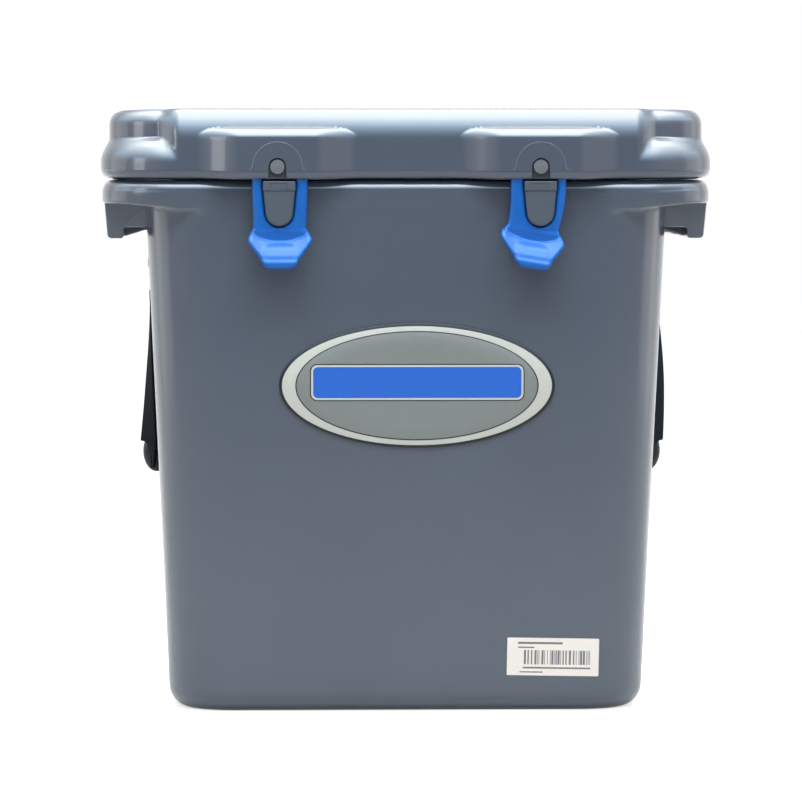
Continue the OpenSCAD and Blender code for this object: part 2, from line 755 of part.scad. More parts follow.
// Oval hand grip that the webbing runs through
module grip(side) {
    steps = 40;
    ends = [[0, 2.2], [0.7, 0.8], [2.4, 0]];
    stations = concat([for (e = ends) [-grip_length / 2 + e[0], e[1]]],
        [for (i = [2:-1:0]) [grip_length / 2 - ends[i][0], ends[i][1]]]);
    color(black) on_side(side) translate([grip_x, 0, grip_height]) rotate([-90, 0, 0]) difference() {
        loft([for (s = stations) [for (i = [0:steps - 1]) let (a = 360 * i / steps)
            [(grip_thickness / 2 - s[1]) * cos(a), (grip_section_height / 2 - s[1]) * sin(a), s[0]]]]);
        linear_extrude(grip_length + 2 * overlap, center = true)
            square([webbing_thickness + 2 * grip_slot_gap, webbing_width + 2 * grip_slot_gap], center = true);
    }
}

// Places children at the four screws of the right side
module each_screw() {
    for (y = [-arm_y, arm_y]) for (s = [-1, 1])
        on_side_wall(y + s * plate_screw_spacing / 2, plate_z) children();
}

// Places children at the two plates of the right side
module each_plate() {
    for (y = [-arm_y, arm_y])
        on_side_wall(y, plate_z) children();
}

// Webbing ends that lie flat on the wall under the plates
module strap_ends(side) {
    bottom = strap_top + webbing_thickness / 2 + seat_gap;
    height = plate_height + 1;
    color(black) on_side(side) difference() {
        each_plate() translate([-webbing_width / 2, -plate_height / 2 + 0.5, wall_clearance - 0.2])
            cube([webbing_width, height - 1, webbing_thickness]);
        each_screw() cylinder(r = screw_shank / 2 + seat_gap, h = 40, center = true, $fn = 32);
    }
}

module strap_plates(side) {
    z0 = wall_clearance - 0.2 + webbing_thickness + 0.1;
    color(black) on_side(side) difference() {
        each_plate() translate([0, 0, z0]) linear_extrude(plate_thickness) {
            square([plate_width - 6, plate_height], center = true);
            square([plate_width, plate_height - 6], center = true);
            for (x = [-1, 1]) for (y = [-1, 1])
                translate([x * (plate_width / 2 - 3), y * (plate_height / 2 - 3)]) circle(r = 3, $fn = 24);
        }
        each_screw() {
            cylinder(r = screw_shank / 2 + pin_gap, h = 40, center = true, $fn = 32);
            translate([0, 0, z0 + plate_thickness - screw_head_height])
                cylinder(r = screw_head_radius + 0.1, h = 10, $fn = 32);
        }
    }
}

module plate_screws(side) {
    top = wall_clearance - 0.1 + webbing_thickness + plate_thickness;
    color(steel) on_side(side) each_screw() {
        translate([0, 0, top - screw_length]) cylinder(r = screw_shank / 2, h = screw_length, $fn = 32);
        translate([0, 0, top - screw_head_height + 0.05])
            cylinder(r = screw_head_radius, h = screw_head_height - 0.05, $fn = 32);
    }
}

// ---------------------------------------------------------------- badge, label and drain

module badge() {
    color("lightgrey") on_front_wall(badge_x, tub_height - badge_drop) translate([0, 0, 0.05]) {
        linear_extrude(0.6) oval(badge_width, badge_height, 96);
    }
}

module paper_label() {
    color("cornsilk") on_front_wall(label_x, label_z) translate([0, 0, pin_gap]) rotate([0, 0, -label_slope])
        linear_extrude(0.3) square([label_width, label_height], center = true);
}

module drain_bushing() {
    color(black) difference() {
        union() {
            rod_y(bushing_radius, drain_inner_y - bushing_seat - bushing_flange,
                drain_y + drain_nut_height, 0, drain_z);
            rod_y(bushing_flange_radius, drain_inner_y - bushing_seat - bushing_flange,
                drain_inner_y - bushing_seat, 0, drain_z);
        }
        rod_y(drain_bore / 2, drain_inner_y - 10, drain_y + 20, 0, drain_z);
    }
}

module drain_nut() {
    color(black) translate([0, drain_y + 1.2, drain_z]) rotate([-90, 0, 0]) difference() {
        cylinder(r = drain_nut_radius, h = drain_nut_height - 1.4, $fn = 6);
        translate([0, 0, -1]) cylinder(r = bushing_radius + pin_gap, h = 20, $fn = 48);
    }
}

module drain_plug() {
    y0 = drain_y + drain_nut_height + 2;
    color(black) {
        rod_y(drain_bore / 2 - 0.08, y0 - plug_shank_length, y0 + 1, 0, drain_z);
        rod_y(drain_plug_radius, y0, y0 + drain_plug_height, 0, drain_z);
        translate([-drain_plug_radius * 0.8, y0 + drain_plug_height - 1, drain_z - 2.5])
            cube([drain_plug_radius * 1.6, 7, 5]);
    }
}

module drain_seal() {
    y0 = drain_y + drain_nut_height + 0.1;
    color("dimgray") difference() {
        rod_y(bushing_radius - 0.4, y0, y0 + 1.8, 0, drain_z);
        rod_y(drain_bore / 2 + 0.1, y0 - 5, y0 + 5, 0, drain_z);
    }
}

tub_shell();
tub_foam();
lid_shell();
lid_foam();
lid_seal();
hinge_pin(LEFT);  // left_hinge_pin
hinge_pin(RIGHT);  // right_hinge_pin
latch_root(LEFT);  // left_latch_root
latch_loop(LEFT);  // left_latch_loop
latch_pin(LEFT);  // left_latch_pin
hook_tongue(LEFT);  // left_hook
latch_root(RIGHT);  // right_latch_root
latch_loop(RIGHT);  // right_latch_loop
latch_pin(RIGHT);  // right_latch_pin
hook_tongue(RIGHT);  // right_hook
strap_ends(LEFT);  // left_strap_ends
strap(LEFT);  // left_strap
grip(LEFT);  // left_grip
strap_plates(LEFT);  // left_strap_plates
plate_screws(LEFT);  // left_plate_screws
strap_ends(RIGHT);  // right_strap_ends
strap(RIGHT);  // right_strap
grip(RIGHT);  // right_grip
strap_plates(RIGHT);  // right_strap_plates
plate_screws(RIGHT);  // right_plate_screws
badge();
paper_label();
drain_bushing();
drain_nut();
drain_plug();
drain_seal();
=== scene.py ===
import math
import bpy
import bmesh
import numpy as np
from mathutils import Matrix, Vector


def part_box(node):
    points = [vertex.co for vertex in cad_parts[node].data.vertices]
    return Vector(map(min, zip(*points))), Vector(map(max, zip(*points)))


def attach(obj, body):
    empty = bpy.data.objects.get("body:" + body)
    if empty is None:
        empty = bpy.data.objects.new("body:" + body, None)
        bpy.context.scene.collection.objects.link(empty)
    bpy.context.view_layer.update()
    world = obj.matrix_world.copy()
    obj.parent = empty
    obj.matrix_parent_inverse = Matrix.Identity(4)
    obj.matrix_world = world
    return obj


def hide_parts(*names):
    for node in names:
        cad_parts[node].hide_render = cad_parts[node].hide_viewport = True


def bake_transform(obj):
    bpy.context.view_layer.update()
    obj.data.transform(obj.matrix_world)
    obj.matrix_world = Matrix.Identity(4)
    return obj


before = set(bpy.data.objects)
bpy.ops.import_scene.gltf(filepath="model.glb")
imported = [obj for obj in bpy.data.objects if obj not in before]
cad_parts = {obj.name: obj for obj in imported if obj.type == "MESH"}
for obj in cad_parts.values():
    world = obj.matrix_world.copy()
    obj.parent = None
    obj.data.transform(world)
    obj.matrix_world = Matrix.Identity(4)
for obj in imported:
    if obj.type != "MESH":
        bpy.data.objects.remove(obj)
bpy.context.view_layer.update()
MM = 0.001
SIDES = ((-1, "left"), (1, "right"))
CORNERS = ((1, 1), (-1, 1), (-1, -1), (1, -1))

# ------------------------ sizes, in millimetres


def corners(node):
    """Lowest and highest corner of a CAD node."""
    lo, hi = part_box(node)
    return [c / MM for c in lo], [c / MM for c in hi]


def middle(node):
    lo, hi = corners(node)
    return [(a + b) / 2 for a, b in zip(lo, hi)]


RIM_X, _, TUB_H = corners("tub_shell")[1]
LEAN = 18.4
FLOOR_X, FLOOR_Y = 175.5, 175.0
TUB_R, BASE_R, RIM_R, HOLLOW_R = 48.0, 16.0, 58.0, 28.0
WALL, FLOOR_T = 32.0, 36.0
BAND_Z = TUB_H - 20
RIM_EDGE = 7.0


def wall_x(z):
    return FLOOR_X + LEAN * z / TUB_H


def wall_y(z):
    return FLOOR_Y + LEAN * z / TUB_H


RIM_Y = wall_y(TUB_H)
LEAN_ANGLE = math.atan(LEAN / TUB_H)
BOSS_DEPTH = 13.0
(_, BOSS_Y, _), (LID_X, _, LID_TOP) = corners("lid_shell")
LID_Y = -BOSS_Y - BOSS_DEPTH
LID_Z = TUB_H + 1.5
LID_R = 60.0
LATCH_X, _, PIN_Z = middle("right_latch_pin")
LATCH_Y = BOSS_Y + 7.5
ROOT_R, ROOT_HALF = 18.0, 20.5
PIVOT_Z = LID_Z - 5.5
(_, HOOK_FRONT, HOOK_TIP), (_, _, HOOK_TOP) = corners("right_hook")
_, HINGE_Y, HINGE_Z = middle("right_hinge_pin")
BORE_R = 4.1
_, _, DRAIN_Z = middle("drain_bushing")
_, _, PLATE_Z = middle("right_strap_plates")
GRIP_MID_X, _, GRIP_Z = middle("right_grip")
grip_lo, grip_hi = corners("right_grip")
GRIP_HALF = grip_hi[1]
ARM_Y = 66.0

# ------------------------ mesh helpers


def ease(a, b, v):
    """Smooth step from 0 at a to 1 at b."""
    t = min(1.0, max(0.0, (v - a) / (b - a)))
    return t * t * (3 - 2 * t)


def cosd(degrees):
    return math.cos(math.radians(degrees))


def sind(degrees):
    return math.sin(math.radians(degrees))


def circle(radius, steps):
    """Closed circle about the origin, anticlockwise."""
    angles = [2 * math.pi * k / steps for k in range(steps)]
    return [(radius * math.cos(a), radius * math.sin(a)) for a in angles]


def piece(name, verts, faces, material, smooth=40, scale=MM):
    """Makes a mesh object from millimetre points."""
    mesh = bpy.data.meshes.new(name)
    mesh.from_pydata([(v[0] * scale, v[1] * scale, v[2] * scale) for v in verts], [], faces)
    mesh.validate()
    mesh.update()
    obj = bpy.data.objects.new(name, mesh)
    bpy.context.scene.collection.objects.link(obj)
    mesh.materials.append(material)
    soften(obj, smooth)
    return obj


def declare(obj, body, slot, *nodes):
    """The piece moves with a body and stands for CAD nodes, which it hides. The slot argument is not used."""
    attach(obj, body)
    if nodes:
        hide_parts(*nodes)


def soften(obj, angle=40):
    obj.data.polygons.foreach_set("use_smooth", [True] * len(obj.data.polygons))
    obj.data.set_sharp_from_angle(angle=math.radians(angle))


def closed(name, rings, material, smooth=40):
    """Closed surface through rings, facing outwards."""
    obj = piece(name, *loft(rings), material, smooth)
    bm = bmesh.new()
    bm.from_mesh(obj.data)
    bmesh.ops.recalc_face_normals(bm, faces=bm.faces)
    bm.to_mesh(obj.data)
    bm.free()
    return obj


def apply_modifiers(obj, smooth):
    dg = bpy.context.evaluated_depsgraph_get()
    mesh = bpy.data.meshes.new_from_object(obj.evaluated_get(dg))
    obj.modifiers.clear()
    obj.data = mesh
    soften(obj, smooth)


def bevel(obj, width, smooth):
    m = obj.modifiers.new("edge", "BEVEL")
    m.width = width * MM
    m.segments = 3
    m.limit_method = "ANGLE"
    m.angle_limit = math.radians(25)
    m.harden_normals = False
    apply_modifiers(obj, smooth)


def cut(obj, cutter, smooth=34):
    m = obj.modifiers.new("cut", "BOOLEAN")
    m.operation = "DIFFERENCE"
    m.solver = "EXACT"
    m.object = cutter
    apply_modifiers(obj, smooth)
    bpy.data.objects.remove(cutter)


def loft(rings):
    """Quads between rings of equal length, capped at both ends; returns points and faces."""
    n = len(rings[0])
    verts = [p for r in rings for p in r]
    faces = []
    for k in range(len(rings) - 1):
        a, b = k * n, (k + 1) * n
        for i in range(n):
            j = (i + 1) % n
            faces.append((a + i, a + j, b + j, b + i))
    top = (len(rings) - 1) * n
    return verts, faces + [tuple(range(n - 1, -1, -1)), tuple(range(top, top + n))]


EVEN = [i / 26 for i in range(1, 26)]


def outline(hx, hy, r, corner=16, stops=(EVEN, EVEN)):
    """Rounded rectangle, anticlockwise from +x, as (x, y, nx, ny).

    The stops are where the straight sides have points, as shares of the sides along x and along y.
    """
    pts = []
    for c, (sx, sy) in enumerate(CORNERS):
        cx, cy = sx * (hx - r), sy * (hy - r)
        for i in range(corner + 1):
            nx, ny = cosd(90 * (c + i / corner)), sind(90 * (c + i / corner))
            pts.append((cx + r * nx, cy + r * ny, nx, ny))
        sx, sy = CORNERS[(c + 1) % 4]
        start, end = pts[-1], (sx * (hx - r) + r * nx, sy * (hy - r) + r * ny)
        for t in stops[c % 2]:
            pts.append((start[0] + (end[0] - start[0]) * t, start[1] + (end[1] - start[1]) * t, nx, ny))
    return pts


def level(hx, hy, r, z):
    """Rounded rectangle at one height."""
    return [(p[0], p[1], z) for p in outline(hx, hy, r)]


def prism(name, shape, lo, hi, axis, material, edge=0.0):
    """Plate from an outline: axis "y" takes (x, z) points, axis "x" takes (y, z) points."""
    def at(p, d):
        return (p[0], d, p[1]) if axis == "y" else (d, p[0], p[1])
    obj = closed(name, [[at(p, lo) for p in shape], [at(p, hi) for p in shape]], material, 35)
    if edge:
        bevel(obj, edge, 35)
    return obj


def arc(cx, cy, r, a0, a1, n):
    angles = [a0 + (a1 - a0) * i / n for i in range(n + 1)]
    return [(cx + r * cosd(a), cy + r * sind(a)) for a in angles]


def rounded(hw, hh, r, n=6):
    """Rounded rectangle about the origin, without normals."""
    pts = []
    for c, (sx, sy) in enumerate(CORNERS):
        pts += arc(sx * (hw - r), sy * (hh - r), r, 90 * c, 90 * c + 90, n)
    return pts


def bore_outline(x, z):
    return arc(x, z, BORE_R, 0, 350, 35)


def tube(points, radius, sides=8):
    """Closed round bead along 3-D points, with fine ends."""
    rings = []
    pts = [Vector(p) for p in points]
    for i, p in enumerate(pts):
        t = (pts[min(i + 1, len(pts) - 1)] - pts[max(i - 1, 0)]).normalized()
        side = t.cross(Vector((0, 1, 0))).normalized()
        up = side.cross(t)
        r = radius * (0.15 if i in (0, len(pts) - 1) else 1)
        rings.append([p + (side * c + up * s) * r for c, s in circle(1, sides)])
    return loft(rings)


def polygon_distance(px, py, poly):
    """Signed distance to a polygon, negative inside, for arrays of points."""
    best = np.full(px.shape, 1e9)
    inside = np.zeros(px.shape, bool)
    for (x0, y0), (x1, y1) in zip(poly, poly[1:] + poly[:1]):
        ex, ey = x1 - x0, y1 - y0
        wx, wy = px - x0, py - y0
        t = np.clip((wx * ex + wy * ey) / (ex * ex + ey * ey), 0, 1)
        best = np.minimum(best, (wx - ex * t) ** 2 + (wy - ey * t) ** 2)
        if y0 != y1:
            inside ^= ((y0 > py) != (y1 > py)) & (px < (x1 - x0) * (py - y0) / (y1 - y0) + x0)
    return np.where(inside, -1, 1) * np.sqrt(best)


def slab(d2, depth, half, r):
    """Extrudes a flat distance to a plate with rounded edges."""
    a, b = d2 + r, np.abs(depth) - half + r
    return np.minimum(np.maximum(a, b), 0) + np.hypot(np.maximum(a, 0), np.maximum(b, 0)) - r


def join_soft(a, b, k):
    """Union of two distances with a fillet of about k."""
    h = np.clip(0.5 + 0.5 * (b - a) / k, 0, 1)
    return b + (a - b) * h - k * h * (1 - h)


def edge_ends(f, axis, rest):
    """Values at both ends of each grid edge along an axis; rest is the part taken of the other axes."""
    a, b = [rest] * 3, [rest] * 3
    a[axis], b[axis] = slice(0, -1), slice(1, None)
    return f[tuple(a)], f[tuple(b)]


def cell_points(f):
    """Cells that the surface crosses, and in each the mean of the crossing points on its edges."""
    shape = tuple(np.array(f.shape) - 1)
    total, count = np.zeros(shape + (3,)), np.zeros(shape)
    for axis in range(3):
        fa, fb = edge_ends(f, axis, slice(None))
        hit = (fa < 0) != (fb < 0)
        t = np.where(hit, fa / np.where(fa == fb, 1, fa - fb), 0)
        u, v = [i for i in range(3) if i != axis]
        for du, dv in ((0, 0), (0, 1), (1, 0), (1, 1)):
            s = [slice(None)] * 3
            s[u], s[v] = slice(du, du + shape[u]), slice(dv, dv + shape[v])
            h = hit[tuple(s)]
            count += h
            total[..., axis] += t[tuple(s)] * h
            total[..., u] += du * h
            total[..., v] += dv * h
    cells = np.argwhere(count > 0)
    return cells, total[tuple(cells.T)] / count[tuple(cells.T)][:, None]


def cell_quads(f, cells):
    """Each crossed grid edge gives a quad of the four cells round it."""
    index = -np.ones(tuple(np.array(f.shape) - 1), int)
    index[tuple(cells.T)] = np.arange(len(cells))
    quads = []
    for axis in range(3):
        u, v = (axis + 1) % 3, (axis + 2) % 3
        fa, fb = [side < 0 for side in edge_ends(f, axis, slice(1, -1))]
        for sign, hit in ((1, fa & ~fb), (-1, fb & ~fa)):
            where = np.argwhere(hit) + [0 if i == axis else 1 for i in range(3)]
            quad = []
            for du, dv in ((-1, -1), (0, -1), (0, 0), (-1, 0)):
                c = where.copy()
                c[:, u] += du
                c[:, v] += dv
                quad.append(index[tuple(c.T)])
            quads.append(np.array(quad).T[:, ::sign])
    return np.concatenate(quads)


def skin(name, field, lo, hi, step, material, rounds=2):
    """Quad surface where field(x, y, z) is zero, with its points moved onto the surface."""
    axes = [np.arange(lo[i] - 2 * step, hi[i] + 2 * step, step) for i in range(3)]
    f = field(*np.meshgrid(*axes, indexing="ij"))
    cells, local = cell_points(f)
    pts = np.array([axes[i][cells[:, i]] for i in range(3)]).T + local * step
    for _ in range(rounds):
        e = step * 0.25
        g = np.array([field(*(pts + e * d).T) - field(*(pts - e * d).T) for d in np.eye(3)]).T / (2 * e)
        size = np.maximum((g * g).sum(1), 0.05)
        pts = pts - np.clip(field(*pts.T) / size, -step * 0.5, step * 0.5)[:, None] * g
    return piece(name, pts.tolist(), cell_quads(f, cells).tolist(), material, 80)

# ------------------------ materials


def srgb(r, g, b):
    def linear(c):
        c /= 255
        return c / 12.92 if c <= 0.04045 else ((c + 0.055) / 1.055) ** 2.4
    return (linear(r), linear(g), linear(b), 1.0)


def shade(colour, k):
    """The colour, darker or lighter by a factor."""
    return tuple(min(1, c * k) for c in colour[:3]) + (1.0,)


class Nodes:
    """Short way to write a node tree."""

    def __init__(self, owner):
        owner.use_nodes = True
        self.owner = owner
        self.tree = owner.node_tree

    def add(self, kind, inputs=None, **props):
        node = self.tree.nodes.new(kind)
        for k, v in props.items():
            setattr(node, k, v)
        for k, v in (inputs or {}).items():
            self.put(node, k, v)
        return node

    def put(self, node, key, value):
        if isinstance(value, bpy.types.NodeSocket):
            self.tree.links.new(value, node.inputs[key])
        else:
            node.inputs[key].default_value = value

    def coords(self, which="Object"):
        return self.add("ShaderNodeTexCoord").outputs[which]

    def split(self, vector):
        return self.add("ShaderNodeSeparateXYZ", {"Vector": vector}).outputs

    def noise(self, scale, detail=3.0, rough=0.5, vector=None):
        return self.add("ShaderNodeTexNoise", {"Scale": scale, "Detail": detail, "Roughness": rough,
                                               "Vector": vector or self.coords()}).outputs["Fac"]

    def math(self, op, a, b=0.0):
        return self.add("ShaderNodeMath", {0: a, 1: b}, operation=op).outputs[0]

    def times(self, a, b):
        return self.math("MULTIPLY", a, b)

    def plus(self, a, b):
        return self.math("ADD", a, b)

    def span(self, value, lo, hi, to_lo=0.0, to_hi=1.0, shape="LINEAR"):
        """The value from lo to hi, mapped to the range from to_lo to to_hi."""
        ends = {"Value": value, "From Min": lo, "From Max": hi, "To Min": to_lo, "To Max": to_hi}
        return self.add("ShaderNodeMapRange", ends, interpolation_type=shape).outputs[0]

    def mix(self, fac, a, b):
        return self.add("ShaderNodeMix", {0: fac, 6: a, 7: b}, data_type="RGBA").outputs[2]

    def bump(self, height, strength, distance, normal=None):
        under = {"Normal": normal} if normal else {}
        sizes = {"Height": height, "Strength": strength, "Distance": distance}
        return self.add("ShaderNodeBump", {**sizes, **under}).outputs[0]

    def set(self, **values):
        """Sets the shader's sockets and gives back the material."""
        for k, v in values.items():
            self.put(self.tree.nodes["Principled BSDF"], k.replace("_", " "), v)
        return self.owner


def new_material(name):
    return Nodes(bpy.data.materials.new(name))


def moulded(name, colour, rough, cloudy, grain, coat=0.0, specular=0.5):
    """Rotomoulded or injected plastic: faint cloudy colour, fine orange-peel and worn patches."""
    n = new_material(name)
    cloud = n.span(n.noise(9.0, 4.0, 0.6), 0.35, 0.65)
    base = n.mix(cloud, shade(colour, 1 - cloudy), shade(colour, 1 + cloudy))
    speck = n.span(n.noise(1500.0, 2.0, 0.7), 0.70, 0.78)
    base = n.mix(n.times(speck, 0.05), base, shade(colour, 1.8))
    scuff = n.times(n.span(n.noise(24.0, 3.0, 0.5), 0.45, 0.75), 0.05)
    fine = n.times(n.math("SUBTRACT", n.noise(260.0, 3.0, 0.6), 0.5), 0.03)
    peel = n.bump(n.noise(520.0, 2.0, 0.5), grain, 0.0001)
    n.set(Base_Color=base, Roughness=n.plus(rough, n.plus(scuff, fine)), Specular_IOR_Level=specular,
          Normal=n.bump(n.noise(14.0, 1.0, 0.3), 0.2, 0.001, peel))
    if coat:
        n.set(Coat_Weight=coat, Coat_Roughness=0.09)
    return n.owner


def rubber(name, colour, rough):
    """Soft rubber: cloudy colour with a little pale dust."""
    n = new_material(name)
    cloud = n.noise(45.0, 3.0, 0.55)
    base = n.mix(n.span(cloud, 0.3, 0.7), shade(colour, 0.93), colour)
    dust = n.span(n.noise(420.0, 4.0, 0.8), 0.66, 0.80)
    base = n.mix(n.times(dust, 0.10), base, srgb(190, 200, 210))
    return n.set(Base_Color=base, Roughness=n.plus(rough, n.times(n.math("SUBTRACT", cloud, 0.5), 0.15)),
                 Normal=n.bump(n.noise(900.0, 2.0, 0.5), 0.3, 0.00008), Specular_IOR_Level=0.5)


def metal(name, colour, rough):
    """Metal brushed across the Y axis."""
    n = new_material(name)
    brushed = n.add("ShaderNodeMapping", {"Vector": n.coords(), "Scale": (1.0, 60.0, 1.0)}).outputs[0]
    line = n.noise(700.0, 3.0, 0.6, brushed)
    return n.set(Base_Color=n.mix(line, shade(colour, 0.85), colour), Metallic=1.0,
                 Roughness=n.plus(rough, n.times(line, 0.14)), Normal=n.bump(line, 0.25, 0.00005))


def woven(name, colour):
    """Webbing: ribs across the band and fine twill, laid out by the band's own UV in metres."""
    n = new_material(name)
    along, across = n.split(n.add("ShaderNodeUVMap", uv_map="band").outputs[0])[:2]

    def wave(value, pitch):
        return n.math("SINE", n.times(value, 2 * math.pi / pitch))

    twill = n.times(wave(n.plus(along, across), 0.0034), 0.5)
    height = n.span(n.plus(n.times(wave(along, 0.0017), wave(across, 0.0015)), twill), -1.5, 1.5)
    fuzz = n.noise(2600.0, 3.0, 0.8)
    tone = n.plus(n.times(height, 0.6), n.times(fuzz, 0.4))
    return n.set(Base_Color=n.mix(tone, shade(colour, 0.45), shade(colour, 1.3)), Roughness=0.82,
                 Normal=n.bump(height, 0.9, 0.0004, n.bump(fuzz, 0.4, 0.0002)), Specular_IOR_Level=0.06)


def foamed(name, colour):
    """Rigid foam with open cells at its surface."""
    n = new_material(name)
    cell = n.add("ShaderNodeTexVoronoi", {"Scale": 420.0, "Vector": n.coords()}).outputs["Distance"]
    return n.set(Base_Color=n.mix(cell, shade(colour, 0.8), colour), Roughness=0.9,
                 Normal=n.bump(cell, 0.6, 0.0006))


def printed(name, colour):
    """Printed film: even colour with a trace of ink mottle."""
    n = new_material(name)
    ink = n.noise(150.0, 4.0, 0.65)
    return n.set(Base_Color=n.mix(n.span(ink, 0.3, 0.7), shade(colour, 0.965), colour),
                 Roughness=n.plus(0.3, n.times(ink, 0.08)), Normal=n.bump(n.noise(900.0), 0.1, 0.00004))


def papery(name, colour):
    n = new_material(name)
    fibre = n.noise(1100.0, 5.0, 0.7)
    return n.set(Base_Color=n.mix(n.span(fibre, 0.3, 0.7), shade(colour, 0.93), colour), Roughness=0.7,
                 Normal=n.bump(fibre, 0.25, 0.0001))


BODY = moulded("body_plastic", srgb(81, 89, 102), 0.22, 0.03, 0.10, coat=0.7)
SEAM = moulded("seam_plastic", srgb(118, 127, 138), 0.3, 0.1, 0.2)
# dark colour of the sheets at the back of the latch slots: painted shade, darker than the plastic itself
PAINTED_SLOT_SHADE = moulded("slot_painted_shade", srgb(27, 29, 33), 0.5, 0.1, 0.3)
HOOK = moulded("hook_plastic", srgb(77, 83, 93), 0.42, 0.05, 0.3, specular=0.4)
BLUE = rubber("latch_rubber", srgb(0, 97, 184), 0.40)
WEB = woven("black_webbing", (0.006, 0.0085, 0.0105, 1.0))
THREAD = woven("webbing_thread", (0.02, 0.021, 0.024, 1.0))
GRIP = moulded("grip_rubber", srgb(34, 38, 41), 0.30, 0.10, 0.4)
FITTING = moulded("fitting_plastic", srgb(30, 31, 34), 0.42, 0.12, 0.6)
STEEL = metal("brushed_steel", srgb(150, 148, 146), 0.3)
SEAL = rubber("seal_rubber", srgb(32, 33, 34), 0.6)
FOAM = foamed("core_foam", srgb(226, 208, 160))
INK = printed("badge_ink", srgb(24, 27, 28))
RING = printed("badge_ring", srgb(205, 206, 197))
FIELD = printed("badge_field", srgb(132, 137, 134))
BAR_BLUE = printed("badge_bar", srgb(38, 104, 205))
PAPER = papery("label_paper", srgb(252, 243, 232))
PAPER_INK = papery("label_ink", srgb(120, 118, 120))

# ------------------------ tub

BAND_H = 20
FILLET_R, FILLET_H, BAND_EDGE_R = 6.0, 9.0, 2.2
STEP_Z = TUB_H - 8
MOUTH_R, BOTTOM_R = 3, 12
DRAIN_HOLE_R = 11.6


def wall_level(z, inset=0.0, r=TUB_R):
    """Level ring on the leaning wall, or inside it."""
    return level(wall_x(z) - inset, wall_y(z) - inset, r, z)


# the band flares out of the wall; in front and behind it leans with the wall, so that there it
# only comes out towards the corners
def rim_plan(z):
    back = RIM_Y - wall_y(z)
    return [(x, y - ny * back, nx, ny) for x, y, nx, ny in outline(RIM_X, RIM_Y, RIM_R)]


WALL_PLANS = [outline(wall_x(z), wall_y(z), TUB_R) for z in (BAND_Z, BAND_Z - BAND_H)]
RIM_PLANS = [rim_plan(z) for z in (BAND_Z, BAND_Z - BAND_H)]
REACH = [max(1e-3, (r[0] - w[0]) * w[2] + (r[1] - w[1]) * w[3])
         for w, r in zip(WALL_PLANS[0], RIM_PLANS[0])]


def band_point(k, share, z, inset=0.0):
    """Point k of the plan at a height: share 0 is on the wall, share 1 on the rim, less the inset."""
    def at(plans, i):
        high, low = plans[0][k][i], plans[1][k][i]
        return high + (low - high) * (BAND_Z - z) / BAND_H

    w = [at(WALL_PLANS, i) for i in (0, 1)]
    r = [at(RIM_PLANS, i) - inset * RIM_PLANS[0][k][i + 2] for i in (0, 1)]
    return (w[0] + (r[0] - w[0]) * share, w[1] + (r[1] - w[1]) * share, z)


def band_rings():
    """A fillet out of the wall, a short underside, a rounded edge, a fine step and the rounded rim."""
    spots = list(enumerate(REACH))
    rise = [2.6 * ease(2, 24, d) for d in REACH]
    edge = [0.15 + 0.4 * ease(2, 18, d) for d in REACH]
    rings = []
    for a in np.linspace(0, 90, 9):
        ring = []
        for k, d in spots:
            r = min(FILLET_R, 0.5 * d)
            tall = r + (FILLET_H - r) * (1 - ease(1, 9, d))
            ring.append(band_point(k, r * (1 - cosd(a)) / d, BAND_Z + rise[k] - tall * (1 - sind(a))))
        rings.append(ring)
    for a in np.linspace(0, 90, 6):
        ring = []
        for k, d in spots:
            r = min(BAND_EDGE_R, 0.35 * d)
            ring.append(band_point(k, (d - r * (1 - sind(a))) / d, BAND_Z + rise[k] + r * (1 - cosd(a))))
        rings.append(ring)
    for share, up in ((0, -1.4), (0.12, -0.7), (0.75, -0.1), (0.92, 0.6), (1, 1.3)):
        ring = []
        for k, d in spots:
            lift = 0.5 * rise[k] * (1 if share < 1 else 0.4)
            z = min(STEP_Z + up + lift, TUB_H - RIM_EDGE + 1.2)
            ring.append(band_point(k, 1.0, z, share * edge[k]))
        rings.append(ring)
    for a in range(10, 100, 10):
        inset, z, under = RIM_EDGE * (1 - cosd(a)), TUB_H - RIM_EDGE * (1 - sind(a)), rings[-1]
        rings.append([band_point(k, 1.0, max(z, under[k][2] + 0.05), edge[k] + inset) for k, d in spots])
    return rings


def tub_surface():
    """Outer wall, flared band, rim and hollow in one closed surface."""
    rings = [wall_level(0, BASE_R + d, TUB_R - BASE_R - d) for d in (6, 3)]
    rings[0] = [(x, y, 1.2) for x, y, z in rings[0]]
    for a in range(0, 99, 9):
        inset = BASE_R * (1 - sind(a))
        rings.append(wall_level(BASE_R * (1 - cosd(a)), inset, TUB_R - inset))
    rings += [wall_level(z) for z in np.linspace(BASE_R + 14, BAND_Z - 11, 20)]
    rings += band_rings()
    mouth_x, mouth_y = wall_x(TUB_H) - WALL, wall_y(TUB_H) - WALL
    for a in range(0, 108, 18):
        out = MOUTH_R * (1 - sind(a))
        rings.append(level(mouth_x + out, mouth_y + out, HOLLOW_R + out, TUB_H - MOUTH_R * (1 - cosd(a))))
    rings += [wall_level(z, WALL, HOLLOW_R) for z in np.linspace(TUB_H - 20, FLOOR_T + 14, 10)]
    for i in range(1, 8):
        a = 90 * i / 7
        inset = BOTTOM_R * (1 - cosd(a))
        rings.append(wall_level(FLOOR_T + BOTTOM_R * (1 - sind(a)), WALL + inset, HOLLOW_R - inset))
    return closed("tub_body", rings, BODY, 34)


def on_side(y, z, out):
    """Point moved out of the right side wall, which leans, and the wall's outward and upward axes."""
    c, s = math.cos(LEAN_ANGLE), math.sin(LEAN_ANGLE)
    n, up = Vector((c, 0, -s)), Vector((s, 0, c))
    return Vector((wall_x(z), y, z)) + n * out, n, up


def side_ring(side, shape, y, z, out, grow=0.0):
    """Ring of (along y, along the wall) points at a place on a side wall."""
    ring = []
    for a, b in shape:
        p, _, up = on_side(y, z, out)
        d = math.hypot(a, b)
        p = p + Vector((0, a * (1 + grow / d), 0)) + up * (b * (1 + grow / d))
        ring.append((side * p.x, p.y, p.z))
    return ring


